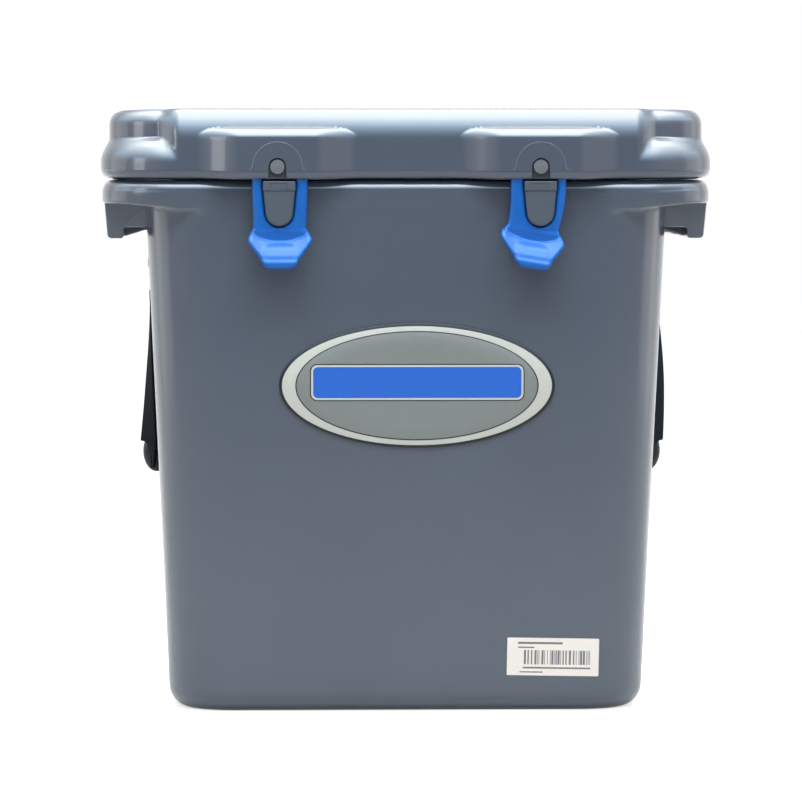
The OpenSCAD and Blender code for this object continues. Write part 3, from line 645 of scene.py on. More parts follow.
def hollow(side, shape, y, z, steps):
    """Cuts a recess into a side wall; each step is (distance out of the wall, growth of the shape)."""
    cut(tub, closed("cutter", [side_ring(side, shape, y, z, out, grow) for out, grow in steps], BODY))


PLATE_HALF_W, PLATE_HALF_H = 15.0, 16.0
POCKET = rounded(PLATE_HALF_W + 3.0, PLATE_HALF_H + 8.0, 5.0)
POCKET_STEPS = ((-4.4, -1.6), (-3.6, -0.9), (0.3, 0.2), (9.0, 1.4))
FINGERS = rounded(GRIP_HALF + 9.0, 30.0, 16.0, 9)
FINGER_STEPS = ((-4.2, -5.2), (-4.1, -4.0), (-3.6, -2.6), (-1.0, -0.9), (-0.3, -0.2), (0.3, 1.2), (9.0, 4.0))

tub = tub_surface()
drain_hole = [(x, z + DRAIN_Z) for x, z in circle(DRAIN_HOLE_R, 48)]
cut(tub, prism("cutter", drain_hole, 120, 190, "y", BODY))
for side, _ in SIDES:
    # shallow pockets for the handle's clamp plates, and a finger recess behind the hand grip
    for y in (-ARM_Y, ARM_Y):
        hollow(side, POCKET, y, PLATE_Z - 3.5, POCKET_STEPS)
    hollow(side, FINGERS, 0.0, GRIP_Z, FINGER_STEPS)
declare(tub, "tub", "body", "tub_shell")


LEDGE_HALF, LEDGE_LEAN, RIB_T = 145.0, 5.0, 5.0


def ledge(side, name):
    """Carrying ledge with its finger lip: one profile along the side, rounded ends and gusset ribs."""
    top, under, lip_z = BAND_Z + 3.5, BAND_Z - 15, BAND_Z - 23.4
    outer, root = RIM_X - 1.0, wall_x(under) - 3
    foot = outer - 3.0
    profile = [(root, top), (outer - 0.6, top)]
    down, back = lip_z + 3 - top, foot + 1.0 - outer
    profile += [(outer - 0.6 + back * t, top + down * t) for t in (0.35, 0.7, 1.0)]
    profile += arc(foot - 2.6, lip_z + 3, 3.0, -12, -90, 6)
    profile += arc(foot - 9.4, lip_z + 2.4, 2.4, -90, -180, 5)
    profile += arc(foot - 14.4, under - 2.6, 2.6, 0, 90, 5)
    profile += [(root, under)]
    mean_x = sum(p[0] for p in profile) / len(profile)

    def end_ring(s, back, shrink):
        """Ring near an end, which leans; it is set back and shrinks away from the wall."""
        ring = []
        for x, z in profile:
            dx = shrink if x > mean_x else 0
            dz = 0.6 * shrink if z < BAND_Z - 1 and x > root + 0.1 else 0
            lean = LEDGE_LEAN * (top - z) / 27
            ring.append((side * (x - dx), s * (LEDGE_HALF - back - lean), z + dz))
        return ring

    ends = ((0.0, 1.6), (0.5, 0.5), (1.6, 0.0))
    rings = [end_ring(-1, *e) for e in ends]
    for y in np.linspace(12 - LEDGE_HALF, LEDGE_HALF - 12, 15):
        rings.append([(side * x, y, z) for x, z in profile])
    rings += [end_ring(1, *e) for e in reversed(ends)]
    declare(closed(name + "_carry_ledge", rings, BODY, 38), "tub", "body")
    rib = [(root + 1, under + 1), (foot - 11, under + 1), (foot - 11, lip_z + 1.6), (foot - 13, lip_z + 1.4),
           (wall_x(under) + 2, under - 2.6), (root + 1, under - 2.6)]
    rib = [(side * x, z) for x, z in rib]
    for i, y in enumerate((-112, -40, 40, 112)):
        gusset = prism("%s_ledge_rib_%d" % (name, i + 1), rib, y - RIB_T / 2, y + RIB_T / 2, "y", BODY, 0.7)
        declare(gusset, "tub", "body")


EAR_R, EAR_T, EAR_REACH = 13.0, 12.0, 34.4


def hinge_ears(side, name):
    """Two ears behind the tub; the outer one is bored for the hinge pin."""
    half, base = EAR_T / 2, wall_y(HINGE_Z) - 3
    shape = arc(HINGE_Y, HINGE_Z, EAR_R, 90, -90, 22)
    shape += [(base + 4, HINGE_Z - EAR_R - 0.5), (base, HINGE_Z - EAR_R - 5), (base, HINGE_Z + EAR_R)]
    for s in (-1, 1):
        place = "outer" if s == side else "inner"
        x = side * LATCH_X + s * EAR_REACH
        ear = prism("%s_hinge_ear_%s" % (name, place), shape, x - half, x + half, "x", BODY, 1.3)
        if place == "outer":
            bore = prism("cutter", bore_outline(HINGE_Y, HINGE_Z), x - half - 2, x + half + 2, "x", BODY)
            cut(ear, bore, 35)
        declare(ear, "tub", "body")


def hook_seat(side, name):
    """Raised pad on the band under a hook, narrower at its foot."""
    cx, low, high = side * LATCH_X, HOOK_TIP + 1, BAND_Z + 4
    half = [(17.7, high), (17.7, low + 12), (14, low + 3), (8, low)]
    shape = [(cx - x, z) for x, z in half] + [(cx + x, z) for x, z in reversed(half)]
    declare(prism(name + "_hook_seat", shape, -RIM_Y - 0.02, -RIM_Y + 4, "y", BODY, 0.6), "tub", "body")


for build in (ledge, hinge_ears, hook_seat):
    for side, name in SIDES:
        build(side, name)

# ------------------------ lid

SHOULDER_Z = LID_Z + 11.5
SHOULDER_R = 19.0
COVE_R = 6.0
SHOULDER_TOP = SHOULDER_Z + SHOULDER_R
BOSS_H = 38.5
BOSS_EDGE = 8.5
BOSS_FULL, BOSS_END, BOSS_DROP = 26, 60, 9
TIER_START, TIER_END = 167, 190
# height and depth of the rounded upper edge, in the middle and at the tiers, and of the lower edge
CROWN_H, CROWN_D, TIER_CROWN_H, TIER_CROWN_D = 24, 12, 12, 13
FOOT_H, FOOT_D, LIP = 6, 5.2, 0.35
SIDE_SET_BACK, FRONT_SET_BACK = 6.4, 14.5


def tier_set_back(z):
    """The lid's middle part ends in a soft shoulder, then a cove."""
    if z <= SHOULDER_Z:
        return 0.0
    if z <= SHOULDER_TOP:
        return SHOULDER_R - math.sqrt(SHOULDER_R ** 2 - (z - SHOULDER_Z) ** 2)
    if z < SHOULDER_TOP + COVE_R:
        return SHOULDER_R + math.sqrt(COVE_R ** 2 - (SHOULDER_TOP + COVE_R - z) ** 2)
    return SHOULDER_R + COVE_R


def edge_set_back(z, share):
    """Rounded upper edge, tighter at the tiers, and rounded lower edge with a fine lip."""
    tall = CROWN_H + (TIER_CROWN_H - CROWN_H) * share
    deep = CROWN_D + (TIER_CROWN_D - CROWN_D) * share
    up, down = z - (LID_TOP - tall), LID_Z + FOOT_H - z
    if up > 0:
        return deep * (1 - math.sqrt(max(0.0, 1 - (up / tall) ** 2)))
    if down > 0:
        return LIP * min(1.0, down / 0.25) + FOOT_D * (1 - math.sqrt(max(0.0, 1 - (down / FOOT_H) ** 2)))
    return 0.0


def boss_share(x, z):
    """Boss depth at a place: its ends roll off and its upper corners are rounded."""
    s = abs(abs(x) - LATCH_X)
    f = 1 - ease(BOSS_FULL, BOSS_END, s)
    if f <= 0:
        return 0.0
    end = min(1.0, max(0.0, (s - 27) / 32))
    top = LID_Z + BOSS_H - BOSS_DROP * (1 - math.sqrt(1 - end ** 2))
    rise = max(0.0, z - (top - BOSS_EDGE)) / BOSS_EDGE
    return f * math.sqrt(max(0.0, 1 - rise * rise))


def lid_point(x, y, nx, ny, z):
    """Point of the lid's wall at a height over a point (x, y) of the plan with its normal."""
    share = 1.0 if abs(nx) > 0.999 else ease(TIER_START, TIER_END, abs(x))
    limit = share * (SIDE_SET_BACK * nx * nx + FRONT_SET_BACK * ny * ny)
    tier = tier_set_back(z)
    k = min(5.0, 0.9 * limit)
    back = min(tier, limit)
    if k > 0.01 and abs(tier - limit) < k:
        back -= (k - abs(tier - limit)) ** 2 / (4 * k)
    shift = BOSS_DEPTH * abs(ny) * boss_share(x, z) - edge_set_back(z, share) - back
    dip = 0.9 * (1 - ease(28, 64, abs(abs(x) - LATCH_X))) * (1 - ease(LID_Z + 4, LID_Z + 16, z)) * (ny < -0.9)
    return (x + nx * shift, y + ny * shift, z - dip)


def lid_plan():
    """Plan of the lid as (x, y, nx, ny), with more points at the bosses' ends and at the tiers."""
    end = LID_X - LID_R
    along = [-end]
    while along[-1] < end:
        fine = 22 < abs(abs(along[-1]) - LATCH_X) < 66 or abs(along[-1]) > 158
        along.append(along[-1] + (0.8 if fine else 3.0))
    stops = [(x + end) / (2 * end) for x in along[1:-1]], [i / 24 for i in range(1, 24)]
    return outline(LID_X, LID_Y, LID_R, 70, stops)


def lid_heights():
    """Heights of the lid's rings, close together where its section turns."""
    foot = LID_Z + FOOT_H
    z = [LID_Z + FOOT_H * (1 - cosd(a)) for a in range(0, 90, 11)] + [foot - 0.25, foot + 0.02]
    z += list(np.linspace(foot + 0.5, SHOULDER_Z, 4))
    z += [SHOULDER_Z + SHOULDER_R * sind(a) for a in range(6, 96, 7)]
    z += [SHOULDER_TOP + COVE_R * (1 - cosd(a)) for a in (20, 40, 60, 75, 90)]
    z += [LID_Z + BOSS_H - BOSS_EDGE * (1 - sind(a)) for a in range(10, 100, 10)]
    z += [LID_TOP - CROWN_H * (1 - sind(a)) for a in range(0, 96, 6)]
    z += [LID_TOP - TIER_CROWN_H * (1 - sind(a)) for a in range(0, 90, 15)]
    z.sort()
    kept = [z[0]]
    for height in z[1:]:
        if height - kept[-1] > 0.12:
            kept.append(height)
    return kept[:-1] + [LID_TOP]


def lid_surface():
    """Underside with a ridge for the seal, the wall over its plan, and the flat top."""
    plan = lid_plan()
    steps = ((30, 1.0), (20, 0.6), (14, -0.9), (9.5, -0.9), (7.5, 0), (6.5, 0))
    rings = [[(x - d * nx, y - d * ny, LID_Z + up) for x, y, nx, ny in plan] for d, up in steps]
    rings += [[lid_point(*p, z) for p in plan] for z in lid_heights()]
    crest = rings[-1]
    rings += [[(x * shrink, y * shrink, LID_TOP) for x, y, z in crest] for shrink in (0.97, 0.92, 0.80)]
    return closed("lid_body", rings, BODY, 34)


def root_outline(cx, gap):
    """Room in the lid for a latch's root."""
    half = ROOT_HALF + gap
    return arc(cx, PIN_Z, ROOT_R + gap, 0, 180, 36) + [
        (cx - half, PIN_Z - 10), (cx - half, LID_Z - 4), (cx + half, LID_Z - 4), (cx + half, PIN_Z - 10)]


def slot_outline(cx, r):
    """Keyhole slot from the pin down to the lid's edge."""
    foot = LID_Z + 0.2
    return arc(cx, PIN_Z, r, 0, 180, 30) + [
        (cx - r, PIN_Z - 3), (cx - r - 0.5, foot), (cx + r + 0.5, foot), (cx + r, PIN_Z - 3)]


lid = lid_surface()
for side, name in SIDES:
    cx = side * LATCH_X
    bore = bore_outline(cx, PIN_Z)
    cut(lid, prism("cutter", root_outline(cx, 2.4), LATCH_Y - 3.3, LATCH_Y + 3.3, "y", BODY))
    cut(lid, prism("cutter", slot_outline(cx, 6.5), BOSS_Y - 3, BOSS_Y + 3.4, "y", BODY))
    # dark sheet at the back of each slot round the pin: painted shade where the slot lies in shadow
    floor = prism(name + "_slot_floor", slot_outline(cx, 6.3), BOSS_Y + 2.6, BOSS_Y + 3.6, "y", PAINTED_SLOT_SHADE)
    cut(floor, prism("cutter", bore, BOSS_Y, BOSS_Y + 5, "y", PAINTED_SLOT_SHADE))
    declare(floor, "lid", "body")
    cut(lid, prism("cutter", bore, BOSS_Y + 1, LATCH_Y + 16, "y", BODY))
declare(lid, "lid", "body", "lid_shell")


def lid_plug():
    """Plug under the lid, which fits the hollow with 4 mm to spare and has a rounded edge."""
    mx, my = wall_x(TUB_H) - WALL - 4, wall_y(TUB_H) - WALL - 4
    rings = [level(mx - 10, my - 10, HOLLOW_R - 10, LID_Z - 10)]
    for a in range(0, 100, 15):
        inset = 4 * (1 - sind(a))
        rings.append(level(mx - inset, my - inset, HOLLOW_R - inset, LID_Z - 10 + 4 * (1 - cosd(a))))
    rings.append(level(mx, my, HOLLOW_R, LID_Z + 2))
    declare(piece("lid_plug", *loft(rings), BODY, 35), "lid", "body")


def hinge_knuckle(side, name):
    cx = side * LATCH_X
    shape = arc(HINGE_Y, HINGE_Z, 11.5, 35, -180, 26)
    shape += [(HINGE_Y - 11.5, LID_Z + 7), (HINGE_Y - 1, LID_Z + 7), (HINGE_Y + 3, LID_Z + 4),
              (HINGE_Y + 6.5, HINGE_Z + 11)]
    declare(prism(name + "_hinge_knuckle", shape, cx - 28, cx + 28, "x", BODY, 1.2), "lid", "body")


def arch_seam(side, name):
    """Fine moulding seam that arches round a pin and turns out at its feet."""
    cx = side * LATCH_X
    foot_z, r, foot_r = LID_Z + 6.4, 18.2, 3.0
    a = math.degrees(math.asin((PIN_Z - foot_z - foot_r) / (r + foot_r)))
    x = (r + foot_r) * cosd(a)
    path = arc(cx - x, foot_z + foot_r, foot_r, -90, -a, 6)
    path += arc(cx, PIN_Z, r, 180 + a, -a, 44)[1:-1]
    path += arc(cx + x, foot_z + foot_r, foot_r, 180 + a, 270, 6)
    seam = piece(name + "_arch_seam", *tube([(x, BOSS_Y + 0.1, z) for x, z in path], 0.19), SEAM, 60)
    declare(seam, "lid", "body")


lid_plug()
for build in (hinge_knuckle, arch_seam):
    for side, name in SIDES:
        build(side, name)

# ------------------------ latches and hooks

TAB_TOP = HOOK_TIP - 3.4
TIP_R = 9.9
TIP_Z = HOOK_TIP + TIP_R
LATCH_T = 6.0
WINDOW_GAP = 0.5
PIN_HOLE_R = 4.05
TAB_LEAN = 12


def mirrored(half):
    """Closed outline from its right half, which runs downwards."""
    return [(-x, z) for x, z in half] + half[::-1]


def tongue_outline(top, gap):
    """Hook tongue with a round tip; with a gap it is the latch's window, which is a little larger."""
    side = [(11.5 + 1.6 * gap, top), (11.5 + 1.6 * gap, HOOK_TOP - 7.4 + 0.8 * gap), (TIP_R + gap, TIP_Z)]
    return [(-x, z) for x, z in side] + arc(0, TIP_Z, TIP_R + gap, 180, 360, 24)[1:-1] + side[::-1]


def tab_face(u, tv):
    """How far the tab's face and back stand out: below a smile-shaped line the face ramps forward,
    and it rolls back at the foot."""
    shelf = -1.4 - 6.0 * (1 - np.minimum((u / 20.0) ** 2, 1.0) ** 1.3)
    below = np.maximum(shelf - tv, 0)
    plumb = 0.21 * np.clip(-tv, 0, -shelf)
    front = 0.2 - plumb + 0.9 * (1 - np.exp(-below / 2.0)) + 0.32 * 26 * np.tanh(below / 26)
    return front - 0.8 * np.clip((-tv - 24.0) / 5.6, 0, 1) ** 2.2, 2.6 + 0.8 * plumb


def thumb_relief(u, tv):
    """Thumb pad: a soft pillow in a shallow moat, with a ridge under it."""
    pad = np.hypot(np.maximum(np.abs(u) - 7.6, 0), np.maximum(np.abs(tv + 16.8) - 1.6, 0)) - 3.6
    rise = np.clip(0.5 - pad / 6.0, 0, 1)
    pillow = 1.2 * rise * rise * (3 - 2 * rise) - 0.08 * np.exp(-((pad - 2.4) / 1.4) ** 2)
    return pillow + 0.6 * np.exp(-((tv + 24.4) / 1.6) ** 2) * np.clip((12.5 - np.abs(u)) / 3, 0, 1)


def latch_field(cx, slope, shift, drift, hook):
    """Signed distance of one rubber latch: root, loop and pull tab in one moulding, pulled a little askew."""
    half_t = LATCH_T / 2
    loop = mirrored([(20.4, PIVOT_Z + 8), (20.4, PIVOT_Z - 4), (20.0, TIP_Z + 6), (19.4, TIP_Z - 8),
                     (19.5, TAB_TOP - 4)])
    root = arc(0, PIN_Z, ROOT_R, 0, 180, 30)
    root += mirrored([(ROOT_HALF, PIN_Z - 10), (ROOT_HALF, PIVOT_Z)])
    window = tongue_outline(LID_Z + 1.4, WINDOW_GAP)
    tab = mirrored([(19.5, 2.0), (22.4, -2.2), (23.6, -6.0), (23.4, -8.0), (22.6, -10.0)]
                   + arc(6.2, -20.6, 8, -8, -89, 9))
    c, s = cosd(TAB_LEAN), sind(TAB_LEAN)

    def field(x, y, z):
        u0 = x - cx
        # the loop drifts sideways and its rows tilt, nothing at the pivot and the whole from the tab down
        t = np.clip((PIVOT_Z - z) / (PIVOT_Z - TAB_TOP), 0, 1)
        u = u0 - shift - drift * t ** 2.2
        bend = t * t * (3 - 2 * t)
        v = z + slope * bend * u
        w = y - LATCH_Y
        # section of the arms: full at a third of their width, falling away towards the window
        rim = -polygon_distance(u, v, loop)
        pane = polygon_distance(u0 - hook, z, window)
        zone = 2.2 + 2.8 * np.clip((z - TIP_Z + 6) / 10, 0, 1)
        e = np.sqrt(np.clip((3.2 - rim) / 3.2, 0, 9) ** 2 + np.clip((zone - pane) / zone, 0, 9) ** 2
                    + ((w - 2.4 * t ** 1.3) / half_t) ** 2)
        arms = np.maximum((e - 1) * half_t * 0.9, -pane)
        anchor = slab(np.maximum(polygon_distance(u0, z, root), LID_Z + 0.6 - z), w, half_t, 0.6)
        body = np.minimum(arms, np.maximum(anchor, -pane))
        tv, tw = (v - TAB_TOP) * c + w * s, w * c - (v - TAB_TOP) * s
        front, back = tab_face(u, tv)
        mid = (back - front) / 2
        blade = slab(polygon_distance(u, tv, tab), tw - mid, (back + front) / 2, 2.6)
        blade = blade - thumb_relief(u, tv) * np.clip((mid - tw) / 2.0, 0, 1)
        pin = np.hypot(u0, z - PIN_Z) - PIN_HOLE_R
        return np.maximum(join_soft(body, blade, 1.6), -pin)
    return field


def hook_field(cx):
    """Signed distance of a hook: a cap with a sunk panel, over a tongue with bevelled flanks."""
    cap = mirrored([(11.9, HOOK_TOP), (11.9, HOOK_TOP - 7.2)])
    tongue = tongue_outline(HOOK_TOP - 2, 0)
    back, front = -RIM_Y + 2.6, HOOK_FRONT
    mid, half = (back + front) / 2, (back - front) / 2

    def field(x, y, z):
        u = x - cx
        top = slab(polygon_distance(u, z, cap), y - mid, half, 0.8)
        d = polygon_distance(u, z, tongue)
        low = slab(d, y - (mid + 0.4), half - 0.4, 0.5)
        low = np.maximum(low, (d * 0.55 - (y - front - 0.4) + 0.88) * 0.87)
        panel = np.maximum(np.abs(u + 0.6) - 6.5, np.abs(z - HOOK_TOP + 3.9) - 2.6)
        return np.maximum(np.minimum(top, low), -np.maximum(panel, y - front - 0.5))
    return field


def pin_head(side, name):
    """Domed rivet head with a rolled edge over the CAD shank."""
    cx = side * LATCH_X
    profile = ((0.35, 0.0), (1.6, 0.02), (3.2, 0.05), (4.2, 0.10), (4.6, 0.22), (4.9, 0.48), (5.05, 0.8),
               (5.05, 1.8))
    rings = [[(cx + x, BOSS_Y + 0.35 + depth, PIN_Z + z) for x, z in circle(r, 56)] for r, depth in profile]
    declare(piece(name + "_pin_head", *loft(rings), STEEL, 50), "lid", "steel")


# how each latch hangs: slope of its rows, sideways shift, drift towards the tab, place of the hook
HANG = {"left": (0.0, 1.9, 0.0, 1.4), "right": (0.17, -1.5, -4.3, 0.0)}


def latch(side, name):
    """Rubber latch as one skinned surface, in place of the CAD root and loop, which it hides."""
    cx = side * LATCH_X
    low, high = (cx - 32, LATCH_Y - 16, TAB_TOP - 36), (cx + 28, LATCH_Y + 6, PIN_Z + 19)
    step = 0.55
    obj = skin(name + "_latch_rubber", latch_field(cx, *HANG[name]), low, high, step, BLUE)
    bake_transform(obj)
    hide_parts(name + "_latch_root", name + "_latch_loop")


def hook(side, name):
    cx = side * LATCH_X
    low, high = (cx - 13, HOOK_FRONT - 2, HOOK_TIP - 2), (cx + 15, -RIM_Y + 4, HOOK_TOP + 1)
    step = 0.45
    obj = skin(name + "_hook_tongue", hook_field(cx + HANG[name][3]), low, high, step, HOOK, 1)
    soften(obj, 32)
    declare(obj, "tub", "hook", name + "_hook")


for build in (latch, hook, pin_head):
    for side, name in SIDES:
        build(side, name)

# ------------------------ handles

GRIP_X = GRIP_MID_X - 2.3
GRIP_A, GRIP_B = (grip_hi[0] - grip_lo[0]) / 2 + 1.0, (grip_hi[2] - grip_lo[2]) / 2 + 0.6
STRAP_TOP = corners("right_strap")[1][2] - 1.25
ends_lo, ends_hi = corners("right_strap_ends")
BEND = 8.0
BEND_Z = GRIP_Z + BEND
STRAP_W, STRAP_T = 25.0, 2.2
TWIST = 28.0
ARM_STEPS, BEND_STEPS = 40, 14


def strap_x(z, twist):
    """Middle of a strap that lies on the wall with one edge; its top is tucked in a little."""
    tuck = 1.3 * ease(STRAP_TOP - 75, STRAP_TOP, z)
    return wall_x(z) + 0.5 - tuck + STRAP_W / 2 * sind(twist) + STRAP_T / 2 * cosd(twist)


def strap_frames(side):
    """Strap as (centre, across, out) from the front arm round the grip to the rear arm.

    The two straps hang a little differently.
    """
    arm = []
    for i in range(ARM_STEPS + 1):
        s = i / ARM_STEPS
        twist = TWIST * (sind(90 * s ** 0.8) if side > 0 else s ** 1.6)
        z = STRAP_TOP + s * (BEND_Z - STRAP_TOP)
        arm.append(((strap_x(z, twist), -ARM_Y, z), 0.0, twist))
    for i in range(1, BEND_STEPS + 1):
        s = i / BEND_STEPS
        x = (1 - s) * strap_x(BEND_Z, TWIST) + s * GRIP_X
        place = (x, -ARM_Y + BEND * (1 - cosd(90 * s)), BEND_Z - BEND * sind(90 * s))
        arm.append((place, 90 * s, TWIST * (1 - s)))
    rows = arm + [((x, -y, z), 180 - turn, twist) for (x, y, z), turn, twist in reversed(arm)]
    frames = []
    for centre, turn, twist in rows:
        along = Vector((0, sind(turn), -cosd(turn)))
        across = Vector((sind(twist), cosd(twist) * cosd(turn), cosd(twist) * sind(turn)))
        frames.append((centre, across, along.cross(across)))
    return frames


HALF_SECTION = [(-0.5, -0.18), (-0.485, -0.40), (-0.45, -0.5), (-0.25, -0.5), (0.0, -0.5), (0.25, -0.5),
                (0.45, -0.5), (0.485, -0.40), (0.5, -0.18)]
SECTION = HALF_SECTION + [(-u, -v) for u, v in HALF_SECTION]


def band_mesh(name, frames, width, thick, side):
    """Flat webbing through frames (centre, across, out); its UV is (length, width) in metres."""
    rings, lengths, total = [], [], 0.0
    for k, (c, across, out) in enumerate(frames):
        if k:
            total += (Vector(c) - Vector(frames[k - 1][0])).length
        lengths.append(total)
        ring = [[c[i] + across[i] * width * u + out[i] * thick * v for i in range(3)] for u, v in SECTION]
        rings.append([(side * x, y, z) for x, y, z in ring])
    obj = closed(name, rings, WEB, 45)
    layer = obj.data.uv_layers.new(name="band")
    n = len(SECTION)
    for loop in obj.data.loops:
        ring, spot = divmod(loop.vertex_index, n)
        layer.data[loop.index].uv = (lengths[ring] * MM, SECTION[spot][0] * width * MM)
    return obj


STITCH = ((0.0, 0.16), (0.3, 0.28), (0.34, 0.30), (0.3, 0.28), (0.0, 0.16))


def stitches(name, frames, v0, side, body, pitch=3.0, length=1.9):
    """Row of raised thread stitches along a band, at a sideways place v0 on its outer face."""
    verts, faces = [], []
    pts = [Vector(c) + across * v0 + out * (-(STRAP_T / 2) - 0.02) for c, across, out in frames]
    total = [0.0]
    for a, b in zip(pts, pts[1:]):
        total.append(total[-1] + (b - a).length)
    at = 2.0
    while at + length < total[-1]:
        k = max(i for i, t in enumerate(total) if t <= at)
        p = pts[k].lerp(pts[k + 1], (at - total[k]) / max(1e-6, total[k + 1] - total[k]))
        d = (pts[k + 1] - pts[k]).normalized()
        o = -frames[k][2]
        s = d.cross(o).normalized()
        base = len(verts)
        for q, (lift, wide) in enumerate(STITCH):
            mid = p + d * (length * q / 4)
            for e, g in ((-1, 0), (-0.6, 1), (0.6, 1), (1, 0)):
                w = mid + s * (e * wide) + o * (lift * g)
                verts.append((side * w.x, w.y, w.z))
        for q in range(4):
            for a in range(base + q * 4, base + q * 4 + 3):
                faces.append((a, a + 1, a + 5, a + 4) if side > 0 else (a, a + 4, a + 5, a + 1))
        at += pitch
    obj = piece(name, verts, faces, THREAD, 60)
    layer = obj.data.uv_layers.new(name="band")
    for loop in obj.data.loops:
        co = obj.data.vertices[loop.vertex_index].co
        layer.data[loop.index].uv = (co.z, co.y)
    declare(obj, body, "webbing")


def grip_mesh(name, side):
    """Oval grip with rolled ends, collars and shallow finger grooves, hollow for the webbing."""
    rolled = [(-GRIP_HALF + 4.0 * (1 - cosd(90 * i / 7)), -4.0 * (1 - sind(90 * i / 7))) for i in range(8)]
    profile = list(rolled)
    for y in np.linspace(-GRIP_HALF + 5.5, GRIP_HALF - 5.5, 121):
        groove = sum(0.45 * math.exp(-((abs(y) - g) / 0.9) ** 2) for g in (46.0, 42.0, 38.0))
        swell = 0.25 * math.cos(y / GRIP_HALF * math.pi * 0.5)
        profile.append((y, -groove - 0.25 + swell))
    profile += [(-y, d) for y, d in reversed(rolled)]
    rings = []
    for y, d in profile:
        ring = []
        for c, s in circle(1, 56):
            # rounder outside, flatter towards the wall
            wide = (GRIP_A + 2.8 + d) * c if c > 0 else -(GRIP_A - 2.8 + d) * (-c) ** 0.6
            ring.append((side * (GRIP_X - 2.8 + wide), y, GRIP_Z + (GRIP_B + d) * s))
        rings.append(ring)
    obj = piece(name, *loft(rings), GRIP, 45)
    slot = [(side * GRIP_X + 1.75 * sx, GRIP_Z + 13 * sz) for sx, sz in ((-1, -1), (1, -1), (1, 1), (-1, 1))]
    cut(obj, prism("cutter", slot, -GRIP_HALF - 3, GRIP_HALF + 3, "y", GRIP), 45)
    return obj


PLATE = rounded(PLATE_HALF_W, PLATE_HALF_H, 3.0)
SCREW_GAP = 9.0
STITCH_V = 10.3
PLATE_STEPS = ((-1.4, 0.0), (-0.3, 0.0), (0.1, -0.25), (0.3, -0.8), (0.35, -1.6))
SCREW_PROFILE = ((3.8, 0.2), (3.8, 0.5), (3.5, 0.9), (2.8, 1.2), (2.0, 1.35), (1.62, 1.4), (1.45, 1.0),
                 (1.4, 0.5), (0.3, 0.4))


def screw_ring(radius):
    """Circle, or a six-lobed recess where the radius is small."""
    lobes = 0.22 * (radius < 1.9)
    spans = [(radius * (1 + lobes * math.cos(q * math.pi / 3)), math.pi * q / 18) for q in range(36)]
    return [(r * math.cos(a), r * math.sin(a)) for r, a in spans]


def webbing_end(side, name, y, *nodes):
    """Flat end of the webbing on the wall, under a clamp plate."""
    rows = []
    for z in np.linspace(ends_lo[2] - 1.6, ends_hi[2], 20):
        p, n, _ = on_side(y, z, -2.4)
        rows.append((tuple(p), Vector((0, 1, 0)), -n))
    declare(band_mesh(name + "_webbing_end", rows, STRAP_W, 2.0, side), "tub", "webbing", *nodes)


def clamp_plate(side, name, y, *nodes):
    rings = [side_ring(side, PLATE, y, PLATE_Z, out, grow) for out, grow in PLATE_STEPS]
    declare(closed(name + "_clamp_plate", rings, FITTING), "tub", "fitting", *nodes)


def screw(side, name, mark, y, *nodes):
    rings = [side_ring(side, screw_ring(r), y, PLATE_Z, out) for r, out in SCREW_PROFILE]
    declare(closed("%s_screw_%s" % (name, mark), rings, STEEL, 30), "tub", "steel", *nodes)


for side, name in SIDES:
    body = name + "_handle"
    frames = strap_frames(side)
    declare(band_mesh(name + "_webbing", frames, STRAP_W, STRAP_T, side), body, "webbing", name + "_strap")
    for arm, part in (("front", frames[:39]), ("rear", frames[-39:])):
        for edge, v0 in (("near", -STITCH_V), ("far", STITCH_V)):
            stitches("%s_%s_stitch_%s" % (name, arm, edge), part, v0, side, body)
    declare(grip_mesh(name + "_hand_grip", side), body, "grip", name + "_grip")
    # the front pieces stand for the CAD nodes, each of which holds both arms' solids
    webbing_end(side, name + "_front", -ARM_Y, name + "_strap_ends")
    webbing_end(side, name + "_rear", ARM_Y)
    clamp_plate(side, name + "_front", -ARM_Y, name + "_strap_plates")
    screw(side, name + "_front", "a", -ARM_Y - SCREW_GAP, name + "_plate_screws")
    screw(side, name + "_front", "b", -ARM_Y + SCREW_GAP)
    clamp_plate(side, name + "_rear", ARM_Y)
    screw(side, name + "_rear", "a", ARM_Y - SCREW_GAP)
    screw(side, name + "_rear", "b", ARM_Y + SCREW_GAP)

# ------------------------ badge and label

badge_lo, badge_hi = corners("badge")
BADGE_X, _, BADGE_Z = middle("badge")
BADGE_A = (badge_hi[0] - badge_lo[0]) / 2
BADGE_B = BADGE_A * 92 / 203
LABEL_X, _, LABEL_Z = middle("paper_label")
LABEL_SLOPE = 1.0


def on_front(x, z, out):
    """Point on the leaning front wall, moved out of it."""
    return (x, -wall_y(z) - out * math.cos(LEAN_ANGLE), z - out * math.sin(LEAN_ANGLE))


def badge_oval(name, a, b, out0, out1, edge, material, sides=160):
    """Oval plate of the badge from out0 to out1 off the wall, with a bevelled edge."""
    def ring(ra, rb, out):
        return [on_front(BADGE_X + ra * c, BADGE_Z + rb * s, out) for c, s in circle(1, sides)]

    steps = ((0, out0), (0, out1 - edge), (edge * 0.3, out1 - edge * 0.3), (edge, out1))
    rings = [ring(a - inset, b - inset, out) for inset, out in steps]
    rings += [ring(a * f, b * f, out1) for f in (0.75, 0.5, 0.25, 0.02)]
    return closed(name, rings, material)


def patch(name, x, z, w, h, out, material, slope=0.0, r=0.0, thick=0.12):
    """Thin flat patch on the leaning front wall, with rounded corners if r isn't 0."""
    s, c = sind(slope), cosd(slope)
    shape = rounded(w / 2, h / 2, r, 5) if r else [(sx * w / 2, sz * h / 2) for sx, sz in CORNERS]
    turned = [(x + a * c + b * s, z - a * s + b * c) for a, b in shape]
    return closed(name, [[on_front(a, b, o) for a, b in turned] for o in (out - thick, out)], material, 30)


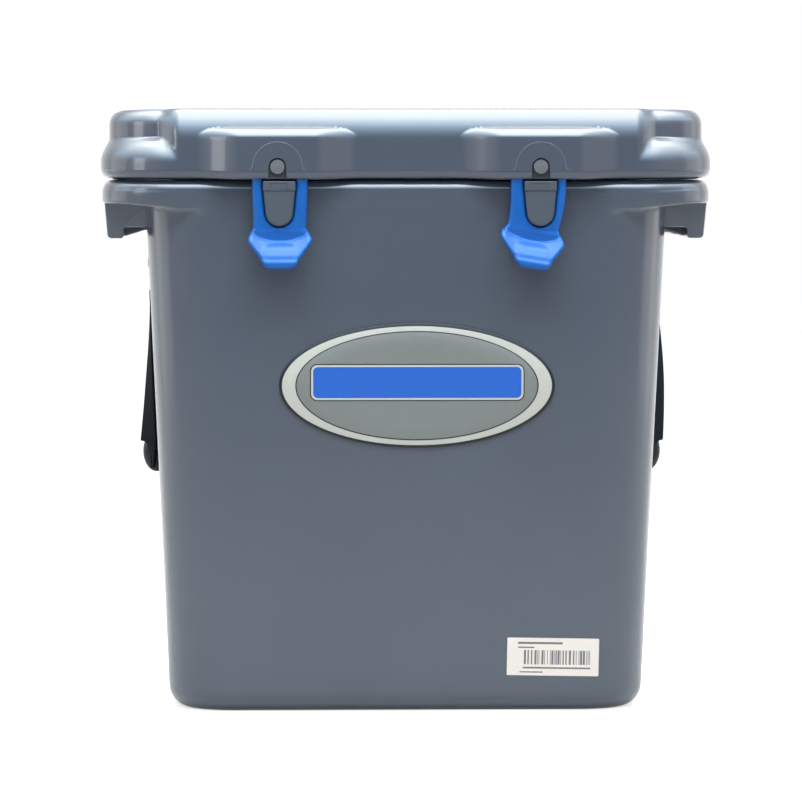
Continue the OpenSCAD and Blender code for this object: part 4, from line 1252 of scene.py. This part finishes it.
declare(badge_oval("badge_plate", BADGE_A, BADGE_B, 0.02, 1.4, 0.5, INK), "tub", "badge", "badge")
for oval in (("badge_pale_ring", BADGE_A - 2.1, BADGE_B - 2.1, 1.0, 1.5, 0.1, RING),
             ("badge_line", 89.6, 40.4, 1.2, 1.58, 0.05, INK),
             ("badge_field", 88.7, 39.5, 1.3, 1.66, 0.05, FIELD)):
    declare(badge_oval(*oval), "tub", "badge")
# generic bar with a dark and a pale edge, in place of any wording
for name, w, h, out, ink, r in (("badge_bar_edge", 158.0, 27.4, 1.74, INK, 5.2),
                                ("badge_bar_pale", 156.4, 25.8, 1.80, RING, 4.5),
                                ("badge_bar_blue", 153.4, 22.8, 1.87, BAR_BLUE, 3.4)):
    declare(patch(name, BADGE_X + 0.2, BADGE_Z + 2.4, w, h, out, ink, r=r), "tub", "badge")

sheet = patch("label_sheet", LABEL_X, LABEL_Z, 68, 28, 0.32, PAPER, LABEL_SLOPE, 0.8, 0.3)
declare(sheet, "tub", "paper", "paper_label")


def on_label(name, u, v, w, h):
    """Printed bar at a place on the label, from its middle."""
    c, s = cosd(LABEL_SLOPE), sind(LABEL_SLOPE)
    bar = patch(name, LABEL_X + u * c + v * s, LABEL_Z - u * s + v * c, w, h, 0.36, PAPER_INK, LABEL_SLOPE,
                thick=0.05)
    declare(bar, "tub", "paper")


on_label("label_line_1", -9.5, 10.2, 33.0, 1.5)
on_label("label_line_2", -20.0, 6.9, 12.0, 1.0)
chance = np.random.default_rng(7)
at, count = -21.5, 0
while at < 28.0:
    wide = float(chance.choice([0.5, 0.5, 1.0, 1.5]))
    count += 1
    on_label("label_bar_%02d" % count, at + wide / 2, -0.4, wide, 10.6)
    at += wide + float(chance.choice([0.55, 0.55, 1.1, 1.6]))
on_label("label_line_3", 2.8, -8.2, 50.0, 1.2)
on_label("label_line_4", -16.0, -11.4, 17.0, 0.9)

# ------------------------ CAD nodes that stay as they are

for mat, nodes in ((FOAM, ("tub_foam", "lid_foam")), (SEAL, ("lid_seal", "drain_seal")),
                   (STEEL, ("left_hinge_pin", "right_hinge_pin", "left_latch_pin", "right_latch_pin")),
                   (FITTING, ("drain_bushing", "drain_nut", "drain_plug"))):
    for node in nodes:
        for slot in bpy.data.objects[node].material_slots:
            slot.material = mat

# ------------------------ camera, light and floor, in metres

scene = bpy.context.scene


def place(name, data, where):
    obj = bpy.data.objects.new(name, data)
    scene.collection.objects.link(obj)
    obj.location = where
    return obj


cam = place("camera", bpy.data.cameras.new("camera"), (-0.1472, -4.398, 0.423))
cam.rotation_euler = (math.radians(90 - 2.574), 0, math.radians(-1.93))
cam.data.lens = 257.25
cam.data.sensor_width = 36
scene.camera = cam


def area(name, where, aim, width, height, power, colour=(1, 1, 1)):
    data = bpy.data.lights.new(name, "AREA")
    data.shape = "RECTANGLE"
    data.size, data.size_y = width, height
    data.energy = power
    data.color = colour
    obj = place(name, data, where)
    obj.rotation_euler = (Vector(aim) - Vector(where)).to_track_quat("-Z", "Y").to_euler()
    obj.visible_camera = False
    return obj


SKY = (0.92, 0.965, 1.0)
for light in (area("key_light", (0.0, -0.95, 1.80), (0, 0, 0.4), 2.0, 0.46, 32, SKY),
              area("low_sky", (0.0, -2.15, 1.50), (0, 0, 0.3), 2.8, 1.0, 8.5, SKY),
              area("top_light", (0.0, 0.15, 1.9), (0, 0, 0.3), 1.8, 0.9, 15, SKY)):
    light.visible_glossy = False
area("left_card", (-2.3, -1.25, 0.75), (0, 0, 0.35), 0.75, 0.8, 6).visible_diffuse = False
area("right_light", (1.9, 0.25, 0.6), (0.1, 0, 0.25), 1.2, 1.4, 4)
area("left_light", (-1.9, 0.25, 0.6), (-0.1, 0, 0.25), 1.1, 1.4, 3.8)
area("back_light", (0.0, 1.7, 1.3), (0, 0, 0.3), 1.2, 1.2, 6)


def lit_white(name):
    """Pale matt floor, lifted to white for the camera and partly for glossy rays, so that it keeps its
    shadow; glossy rays see it dark in front of the box."""
    n = new_material(name)
    path = n.add("ShaderNodeLightPath").outputs
    y = n.split(n.coords())[1]
    mirrored_too = n.times(n.math("MAXIMUM", path["Is Glossy Ray"], path["Is Transmission Ray"]),
                           n.plus(n.span(y, 0.3, 1.5, 0.0, 0.8), n.span(y, -3.6, -0.6, 0.02, 0.2)))
    seen = n.math("MAXIMUM", path["Is Camera Ray"], mirrored_too)
    tone = n.mix(n.noise(3.0, 2.0), (0.66, 0.66, 0.66, 1), (0.68, 0.68, 0.68, 1))
    ahead = n.times(path["Is Glossy Ray"], n.span(y, -0.15, -3.0))
    tone = n.mix(n.times(ahead, 0.85), tone, (0.06, 0.07, 0.09, 1))
    return n.set(Base_Color=tone, Roughness=0.9, Emission_Color=(1, 1, 1, 1),
                 Emission_Strength=n.times(seen, 0.70), Specular_IOR_Level=0.1)


verts = [(x, y, 0.0) for y in (-8.0, -3.0, 0.0, 3.0, 8.0) for x in (-8.0, 8.0)]
faces = [(k, k + 1, k + 3, k + 2) for k in range(0, 8, 2)]
piece("studio_floor", verts, faces, lit_white("floor_white"), 60, 1.0)

scene.world = bpy.data.worlds.new("studio")
sky = Nodes(scene.world)
path = sky.add("ShaderNodeLightPath").outputs
side_x, front_y, up_z = sky.split(sky.coords("Generated"))[:3]


def ramp(value, lo, hi, to_lo=0.0, to_hi=1.0):
    return sky.span(value, lo, hi, to_lo, to_hi, "SMOOTHSTEP")


def glow(colour, strength):
    return sky.add("ShaderNodeBackground", {"Color": colour, "Strength": strength}).outputs[0]


def either(fac, a, b):
    return sky.add("ShaderNodeMixShader", {0: fac, 1: a, 2: b}).outputs[0]


# gloss shows an open sky: dim ahead at eye level, bright from a third of the way up, plain behind
dim = sky.times(ramp(front_y, -0.72, -0.97), ramp(up_z, 0.40, 0.05))
tint = sky.mix(dim, (1.0, 1.0, 1.0, 1), (0.10, 0.13, 0.18, 1))
aside = ramp(sky.times(side_x, side_x), 0.06, 0.45, 1.0, 0.55)
height = sky.times(sky.times(ramp(up_z, 0.10, 0.88, 0.0, 11.5), ramp(front_y, 0.75, 0.1)), aside)
hue = sky.mix(ramp(up_z, 0.3, 0.8), (0.45, 0.75, 1.0, 1), (0.88, 0.96, 1.0, 1))
plain = glow(tint, ramp(front_y, 0.2, 0.9, 0.7, 1.0))
shine = sky.add("ShaderNodeAddShader", {0: plain, 1: glow(hue, height)}).outputs[0]
white = glow((1, 1, 1, 1), 1.0)
lit = either(path["Is Glossy Ray"], glow(tint, 0.36), shine)
lit = either(path["Is Camera Ray"], either(path["Is Transmission Ray"], lit, white), white)
sky.put(sky.tree.nodes["World Output"], "Surface", lit)

scene.view_settings.view_transform = "Standard"

# ------------------------ scene update

bpy.context.view_layer.update()
